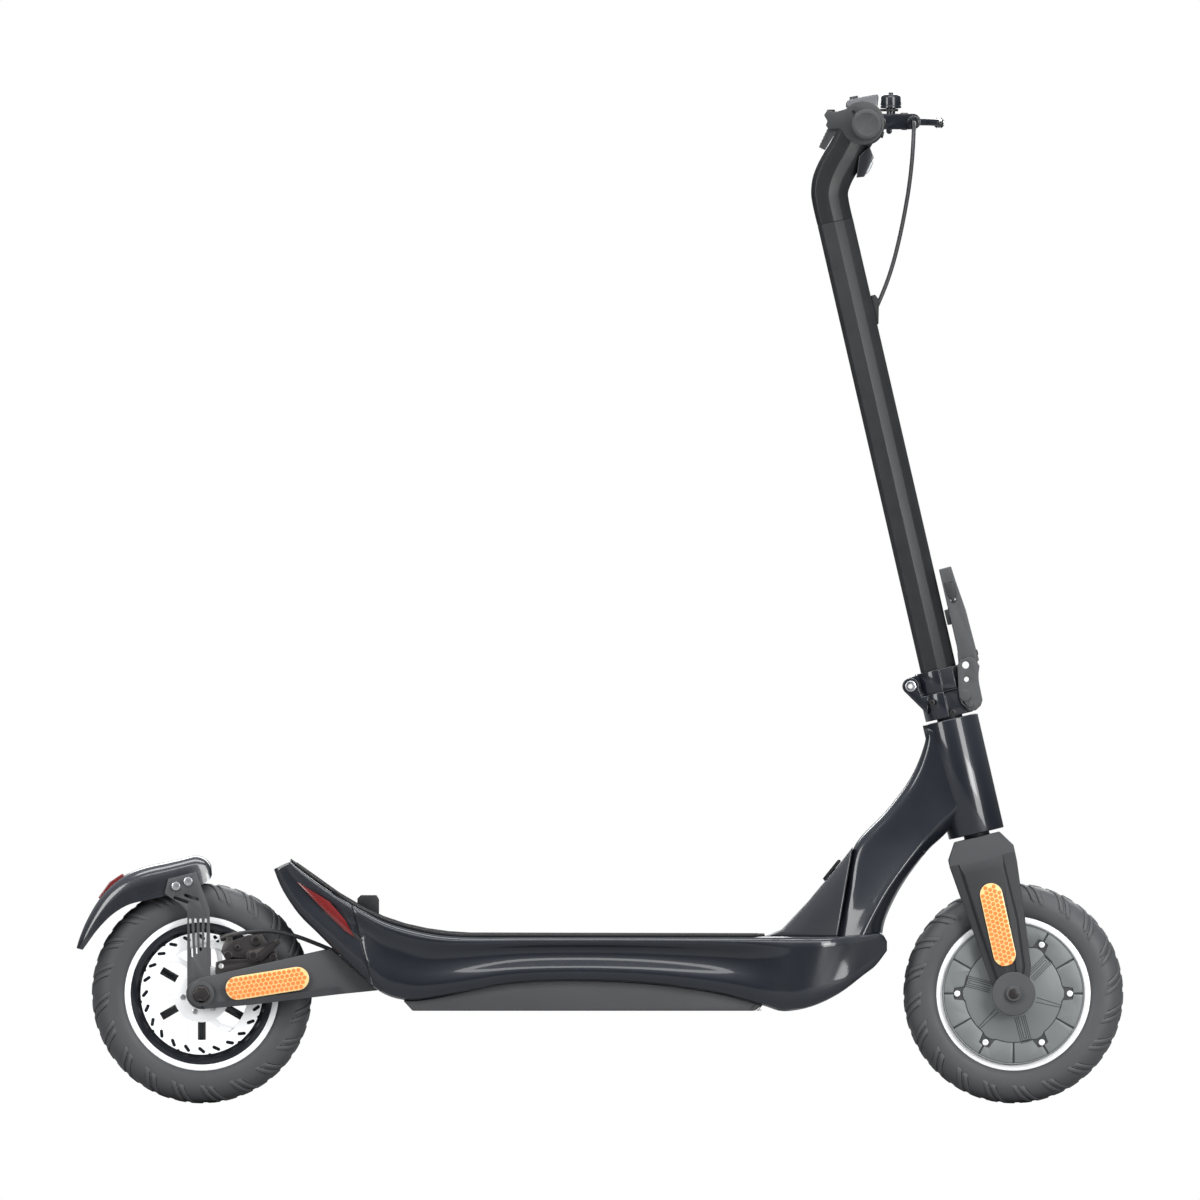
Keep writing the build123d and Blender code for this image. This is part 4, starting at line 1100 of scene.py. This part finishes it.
screw_reach = 6.5
panel_room = 8.32
disc_room = 1.6
joint_width = 0.9
joint_angle = 0.9
motor_panels = []
for side in (-1, 1):
    low, high = sorted((side * panel_y, side * (panel_y + panel_thick)))
    for index in range(12):
        first, last = 30 * index + joint_angle, 30 * index + 30 - joint_angle
        near = []
        for step in range(13):
            angle = last + (first - last) * step / 12
            room = panel_room if from_screw(angle) < screw_reach else 0.0
            near += arc(cover_radius(angle) + joint_width + room, angle, angle, 1)[:1]
        motor_panels.append(plate("motor_panel", arc(79.8, first, last, 8) + near, low, high))
    disc = []
    for angle in range(0, 360, 3):
        room = disc_room if from_screw(angle) < screw_reach else 0.0
        disc += arc(cover_radius(angle) - room, angle, angle, 1)[:1]
    motor_panels.append(plate("motor_disc", disc, low, high))
panels = joined("motor_panels", motor_panels)
rounded(panels, 0.00025, 2, 40)
smooth(panels, 30)
fit(panels, "front_wheel", motor_grey)
lip_outline = [(80.2, 24.0), (80.2, 31.2), (80.7, 31.6), (81.5, 31.6), (82.0, 31.0), (82.0, 24.0)]
lips = both_sides("motor_rim_lips", lip_outline, front_centre)
smooth(lips, 40)
fit(lips, "front_wheel", motor_grey)
slot_lines = []
for side in (-1, 1):
    y = side * (panel_y + panel_thick)
    for turn in (45, 165, 285):
        angle = radians(turn)

        def at(along, across):
            """A place on the cover, along and across a stiffening slot."""
            x = front_centre[0] + along * cos(angle) - across * sin(angle)
            return (x, y, front_centre[1] + along * sin(angle) + across * cos(angle))

        for half, tip in ((6.0, 57.5), (3.9, 55.4), (1.6, 53.2)):
            slot_lines.append(bar_between("slot_line", at(27, half), at(tip, half), 0.9, 0.8))
            slot_lines.append(bar_between("slot_line", at(27, -half), at(tip, -half), 0.9, 0.8))
            slot_lines.append(bar_between("slot_line", at(tip, -half - 0.4), at(tip, half + 0.4), 0.9, 0.8))
    for turn in (105, 225, 345):
        angle = radians(turn)
        slot_lines.append(bar_between("slot_line", at(27, 2.6), at(56, 1.3), 0.8, 0.8))
        slot_lines.append(bar_between("slot_line", at(27, -2.6), at(56, -1.3), 0.8, 0.8))
slot_lines = joined("motor_slot_lines", slot_lines)
fit(slot_lines, "front_wheel", joint_dark)
screw_white = painted(
    "screw_white_metal", (0.82, 0.82, 0.83), 0.3, metallic=0.3, mottle=0.1, wear=0.2,
    worn_color=(0.9, 0.9, 0.9), grain_scale=2000.0, grain_height=0.00001,
)
cover_screws = []
for side in (-1, 1):
    for index in range(6):
        angle = radians(60 * index)
        place = (front_centre[0] + 65 * cos(angle), side * 30.6, front_centre[1] + 65 * sin(angle))
        cover_screws.append(screw("cover_screw", place, (0, side, 0), 3.5, 1.4))
fit(joined("cover_screws", cover_screws), "front_wheel", screw_white, ["motor_screws"])

# ------------------------------------------------------------------ fork
# The fork is cast aluminium in matt charcoal, with a chamfered raised face down each leg.
# It carries the front axle, the steerer tube inside the head tube, and a reflector on each leg.
finished_copy("fork", "steering_fork", charcoal_dark, 0.9, 3)
reflector("fork_reflector", "fork_reflectors", "steering_fork", (451, 242), (466.5, 172.5), 13.0, 54.0)
finished_copy("front_axle", "steering_fork", dark_steel, 0.3)
finished_copy("front_axle_nuts", "steering_fork", dark_steel, 0.4)
cap_outline = [(0.01, 54.0), (25.0, 54.0), (25.0, 55.4), (24.4, 56.0), (0.01, 56.0)]
boss_outline = [(0.01, 55.9), (8.8, 55.9), (8.8, 60.6), (8.2, 61.2), (0.01, 61.4)]
axle_covers = []
for side in (-1, 1):
    for outline, steps in ((cap_outline, 96), (boss_outline, 64)):
        axle_covers.append(spun("fork_cap", [(r, side * y) for r, y in outline], front_centre, steps))
axle_covers = joined("fork_axle_caps", axle_covers)
edit(axle_covers, (bpy.ops.mesh.remove_doubles, {"threshold": 2e-5}))
smooth(axle_covers, 30)
fit(axle_covers, "steering_fork", charcoal)

# ------------------------------------------------------------------ folding joint and latch
# The stem folds on a steel pin at the back of a cast collar that is clamped round the steerer.
# In front, a claw swings up over the stem's nose and its lever pulls it tight, with a sliding lock on top.
for node, body, slot, material, edge in (
    ("hinge_collar", "steering_fork", "black_cast", gloss_black, 0.9),
    ("stem_flange", "stem", "black_cast", gloss_black, 0.9),
    ("hinge_pin", "steering_fork", "steel", bright_steel, 0.3),
    ("latch_claw", "claw", "grey_cast", charcoal, 0.7),
    ("latch_lever", "fold_lever", "grey_cast", charcoal, 1.2),
    ("safety_button", "safety_catch", "grey_plastic", charcoal_dark, 0.6),
):
    finished_copy(node, body, material, edge, 3)
joint_pad = added(
    "hinge_joint_pad", bpy.ops.mesh.primitive_cylinder_add, vertices=96, radius=0.0272, depth=0.00094,
    location=(0.39647, 0.0, 0.47632), rotation=(0.0, -radians(13), 0.0),
)
settle(joint_pad)
smooth(joint_pad)
fit(joint_pad, "steering_fork", mat_rubber)
hinge_place = (358.51, 482.03)
ring_outline = [(4.6, 21.9), (6.2, 21.9), (6.2, 22.7), (5.8, 23.0), (4.6, 23.0)]
hinge_rings = both_sides("hinge_rings", ring_outline, hinge_place, 48)
smooth(hinge_rings)
fit(hinge_rings, "steering_fork", bright_steel)
collar_screws = [
    screw("collar_screw", (x, side * 27.0, z), (0, side, 0), 3.2, 2.0)
    for x, z in ((383, 463), (407, 452)) for side in (-1, 1)
]
fit(joined("collar_screws", collar_screws), "steering_fork", dark_steel)

# ------------------------------------------------------------------ stem
# The stem is an extruded aluminium tube with flat faceted sides, satin black anodised.
# A cast neck carries its facets on, bends forward and ends in the clamp that grips the handlebar.
satin_black = painted(
    "satin_black_anodised", (0.013, 0.0135, 0.0145), 0.42, specular=0.25, coat=0.15, coat_roughness=0.3,
    grain_scale=1500.0, grain_height=0.000008, wear=0.35, worn_color=(0.1, 0.1, 0.11), smudge=0.15,
)
finished_copy("stem_tube", "stem", satin_black, 0.5, 2, 12, 20)
stem_facets = [(-1.0, 14.0), (-0.77, 19.5), (-0.05, 20.3), (0.48, 15.5), (1.0, 7.0)]
neck_ribs = [
    ((251.2, 1013.4), (291.6, 1022.8)),
    ((248.4, 1024.5), (289.2, 1032.5)),
    ((245.0, 1040.0), (286.9, 1044.5)),
    ((243.6, 1052.0), (286.6, 1053.0)),
    ((245.2, 1068.0), (291.5, 1065.5)),
    ((250.5, 1083.0), (298.5, 1077.5)),
    ((258.5, 1098.0), (305.5, 1089.0)),
    ((267.0, 1112.0), (311.0, 1101.5)),
    ((275.0, 1128.0), (318.0, 1115.0)),
    ((281.5, 1144.0), (322.5, 1130.0)),
]


def neck_section(rib):
    """The stem's facets between a rear point and a front point (x, z)."""
    (rear_x, rear_z), (front_x, front_z) = rib
    half = []
    for share, y in stem_facets:
        x = (rear_x + front_x) / 2 + share * (front_x - rear_x) / 2
        z = (rear_z + front_z) / 2 + share * (front_z - rear_z) / 2
        half.append((x, y, z))
    return mirrored(half)


neck = loft("neck_casting", smoothed([neck_section(rib) for rib in neck_ribs], 4))
rounded(neck, 0.0009, 2, 12)
smooth(neck, 25)
fit(neck, "stem", satin_black, ["stem_neck"])
bar_place = (306.5, 1128.0)
clamp_outline = [
    (16.0, -26.0), (21.0, -26.0), (21.5, -25.4), (21.5, -2.0), (21.0, -1.2), (20.2, 0.0),
    (21.0, 1.2), (21.5, 2.0), (21.5, 25.4), (21.0, 26.0), (16.0, 26.0),
]
clamp = spun("bar_clamp", clamp_outline, bar_place, 96)
smooth(clamp, 30)
fit(clamp, "stem", gloss_black)
hook_outline = [
    (276, 1132), (269, 1138), (268.5, 1144), (272.5, 1146), (277, 1142), (284, 1144), (286, 1134)
]
hook = plate("stem_hook", hook_outline, -6.0, 6.0)
rounded(hook, 0.0012, 3)
smooth(hook)
fit(hook, "stem", gloss_black)
clamp_bolts = []
for y in (-17, 17):
    clamp_bolts.append(screw("clamp_bolt", (327.3, y, 1133.5), (1, 0, 0.15), 3.6, 2.4))
    clamp_bolts.append(screw("clamp_bolt", (325.0, y, 1118.5), (1, 0, -0.3), 3.6, 2.4))
fit(joined("clamp_bolts", clamp_bolts), "stem", dark_steel)

# ------------------------------------------------------------------ headlight
# A small lamp in a black plastic housing sits in the front of the neck, behind a clear domed lens.
# The housing is moulded to the neck's shape and screwed to it.
finished_copy("headlight", "stem", satin_plastic, 0.9, 3)
lamp_direction = Vector((0.894, 0.0, -0.447))
lamp_place = Vector((311.0, 0.0, 1081.0))
ball = bpy.ops.mesh.primitive_uv_sphere_add
lens = added("headlight_lens", ball, segments=48, ring_count=24, radius=0.0095)
lens.scale = (1.0, 1.0, 0.28)
lens.rotation_euler = lamp_direction.to_track_quat("Z", "Y").to_euler()
lens.location = (lamp_place - lamp_direction * 0.6) / 1000
lens_glass = painted(
    "headlight_lens", (0.75, 0.78, 0.8), 0.12, coat=1.0, wear=0.0, grain_scale=400.0, grain_height=0.00006
)
settle(lens)
smooth(lens)
fit(lens, "stem", lens_glass)

# ------------------------------------------------------------------ handlebar and grips
# The handlebar is a stepped black tube, widest in its clamp, with moulded rubber grips pushed on.
# Each grip has fine rings round it, a flange at its inner end and a closed, rounded outer end.
finished_copy("handlebar", "stem", satin_black, 0.3)
grip_rubber = painted(
    "grip_rubber", (0.040, 0.040, 0.043), 0.66, mottle=0.3, worn_color=(0.1, 0.1, 0.1), smudge=0.15,
    grain_scale=1200.0, grain_height=0.00006,
)
grip_outline = [(11.3, 143.0), (17.4, 143.0), (17.5, 144.0), (17.5, 148.0), (16.6, 149.4)]
ring_pitch = 4.1
for index in range(26):
    y = 150.0 + ring_pitch * index
    grip_outline += [(16.6, y), (17.4, y + 0.8), (17.4, y + 2.5), (16.6, y + 3.3)]
grip_outline += [
    (16.6, 257.5), (17.5, 259.0), (17.5, 266.5), (16.4, 269.0), (13.5, 270.0), (11.5, 269.2),
    (0.05, 269.2), (0.05, 262.0), (11.3, 262.0),
]
grips = both_sides("moulded_grips", grip_outline, bar_place, 72)
smooth(grips, 35)
fit(grips, "stem", grip_rubber, ["grips"])

# ------------------------------------------------------------------ display and its button
# A slim display unit sits over the clamp, dark glass in a moulded body with a silvery edge.
# Its power button is a soft grey cap, and the dark glass carries no print.
display_glass = painted(
    "display_glass", (0.012, 0.014, 0.02), 0.12, coat=1.0, coat_roughness=0.02, mottle=0.3, wear=0.2,
    worn_color=(0.05, 0.05, 0.06), grain_scale=200.0, grain_height=0.000004,
)
silver_trim = painted(
    "silver_trim", (0.22, 0.225, 0.24), 0.32, metallic=0.7, worn_color=(0.5, 0.5, 0.5),
    grain_scale=1800.0, grain_height=0.00001,
)
finished_copy("display", "stem", display_glass, 1.4, 3)
trim_outline = [
    (285.5, 1151), (285.5, 1155.4), (288.6, 1157.8), (319.4, 1163.6), (320.3, 1162.6), (319, 1151)
]
display_trims = [plate("display_trim", trim_outline, side * 38.0, side * 38.8) for side in (-1, 1)]
display_trims = joined("display_trims", display_trims)
rounded(display_trims, 0.0003, 2)
fit(display_trims, "stem", silver_trim)
finished_copy("power_button", "power_switch", charcoal, 0.4, 3)

# ------------------------------------------------------------------ throttle
# The throttle housing is clamped on the right of the bar, with a thumb paddle on a sprung pivot.
# A rubber mode button stands on top of it, and two screws close its halves round the bar.
housing_plastic = moulded(
    "housing_plastic", (0.045, 0.046, 0.048), 0.45, mottle=0.25, wear=0.35,
    worn_color=(0.12, 0.12, 0.12), smudge=0.15,
)
finished_copy("throttle_housing", "stem", housing_plastic, 0.9, 3)
finished_copy("throttle_paddle", "throttle", housing_plastic, 0.8, 3)
finished_copy("mode_button", "mode_switch", mat_rubber, 0.5, 3)
housing_screws = [
    screw("housing_screw", (x, -143.0, z), (0, -1, 0), 2.2, 0.8)
    for x, z in ((318.0, 1121.5), (292.0, 1144.0))
]
fit(joined("housing_screws", housing_screws), "stem", dark_steel)
paddle_ridges = []
for index in range(5):
    share = 0.15 + 0.17 * index
    x, z = 263.0 - 11.0 * share, 1126.0 - 23.0 * share
    paddle_ridges.append(bar_between("paddle_ridge", (x, -137, z), (x, -119, z), 1.0, 1.0))
fit(joined("paddle_ridges", paddle_ridges), "throttle", housing_plastic)

# ------------------------------------------------------------------ brake lever and bell
# The lever perch is a cast clamp on the left of the bar with the lever on a pivot screw.
# A knurled barrel adjusts the cable, and a small domed bell is clipped to the top of the perch.
finished_copy("brake_perch", "stem", gloss_black, 0.8, 3)
finished_copy("brake_lever", "brake_handle", gloss_black, 1.2, 3)
finished_copy("bell_striker", "bell_thumb", block_plastic, 0.5, 2)
lever_screw = screw("lever_screw", (352, 133, 1143.6), (0, 0, 1), 4.4, 1.6)
fit(lever_screw, "stem", dark_steel)
bell_outline = [
    (0.05, 1144.0), (5.0, 1144.0), (5.0, 1150.0), (11.4, 1150.4), (12.0, 1151.0), (12.0, 1153.0),
    (11.7, 1153.4), (12.0, 1153.8), (12.0, 1162.5), (11.3, 1164.6), (9.4, 1166.0), (6.0, 1166.5),
    (3.0, 1166.6), (2.8, 1168.2), (2.2, 1168.8), (0.05, 1169.0),
]
circle = bpy.ops.mesh.primitive_circle_add
bell = added("bell_dome", circle, vertices=len(bell_outline), radius=1, fill_type="NOTHING")
bell_centre = Vector((0.3365, 0.123, 0.0))
for vertex, (radius, z) in zip(bell.data.vertices, bell_outline):
    vertex.co = bell_centre + Vector((radius, 0.0, z)) / 1000
bell_turn = {"steps": 64, "angle": 2 * pi, "center": bell_centre, "axis": (0.0, 0.0, 1.0)}
edit(bell, (bpy.ops.mesh.spin, bell_turn))
welded(bell, 5e-6)
smooth(bell, 35)
fit(bell, "stem", gloss_black, ["bell"])

# ------------------------------------------------------------------ cables
# Bowden cables in black jackets run from the lever's adjuster to the stem, and from the deck to the caliper.
# The front one hangs in an easy bow and enters the stem through a rubber guide.
cable_jacket = painted(
    "cable_jacket", (0.02, 0.02, 0.022), 0.45, wear=0.1, grain_scale=800.0, grain_height=0.00003
)


def cable(name, route, radius, body, material, replaced=()):
    """A round cable along one smooth curve through given points in millimetres."""
    curve = bpy.data.curves.new(name, "CURVE")
    curve.dimensions = "3D"
    spline = curve.splines.new("NURBS")
    spline.points.add(len(route) - 1)
    for point, place in zip(spline.points, route):
        point.co = (*(Vector(place) / 1000), 1.0)
    spline.order_u = 3
    spline.use_endpoint_u = True
    curve.bevel_depth = radius / 1000
    curve.bevel_resolution = 4
    curve.resolution_u = 10
    curve.use_fill_caps = True
    piece = bpy.data.objects.new(name, curve)
    bpy.context.scene.collection.objects.link(piece)
    piece.data.materials.append(material)
    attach(piece, body)
    if replaced:
        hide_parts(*replaced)
    return piece


cable(
    "front_brake_cable",
    [
        (363, 101, 1134), (363, 84, 1134), (362.5, 66, 1120), (361, 50, 1094), (357.5, 37, 1062),
        (352.5, 26, 1032), (346, 17, 1000), (337.5, 9, 966), (326, 3, 934), (314, 0, 908),
    ],
    2.4, "stem", cable_jacket, ["brake_cable_front"],
)
finished_copy("cable_guide", "stem", mat_rubber, 0.8, 3)
cable(
    "rear_brake_cable",
    [(-300, -40, 174), (-330, -40, 186.5), (-356, -40, 196), (-388, -40, 201.5), (-417, -40, 196.8)],
    2.4, "frame", cable_jacket, ["brake_cable_rear"],
)
cable(
    "rear_brake_wire", [(-440, -40, 190.4), (-458, -40, 184.8), (-476, -40, 179)],
    0.9, "frame", screw_white,
)

# ------------------------------------------------------------------ kickstand
# The kickstand is a steel rod with a welded eye and a thicker foot, folded up under the left edge.
# It turns on a pin that is fixed in a lug of the deck.
stand_paint = painted(
    "stand_paint", (0.02, 0.02, 0.022), 0.4, coat=0.3, mottle=0.3, wear=0.6, worn_color=(0.2, 0.2, 0.2)
)
finished_copy("kickstand_leg", "kickstand", stand_paint, 0.4)
stand_lug = plate("stand_lug", [(140, 109), (160, 109), (160, 131), (140, 131)], 80.2, 85.2)
rounded(stand_lug, 0.0012, 3)
smooth(stand_lug)
fit(stand_lug, "frame", gloss_black)
stand_pin = screw("stand_pin", (150, 85.0, 115.4), (0, 0.9659, 0.2588), 3.6, 12.0)
fit(stand_pin, "frame", bright_steel)

# ------------------------------------------------------------------ inside the deck
# The battery pack and the motor controller lie in the closed bay and are only seen with the tray off.
# The pack is shrink-wrapped cells, and the controller a finned aluminium box.
pack_wrap = painted(
    "pack_wrap", (0.02, 0.08, 0.22), 0.3, coat=0.5, mottle=0.3, wear=0.2, worn_color=(0.1, 0.2, 0.4),
    grain_scale=300.0, grain_height=0.00005,
)
refinish("battery_pack", pack_wrap)
refinish("motor_controller", charcoal)
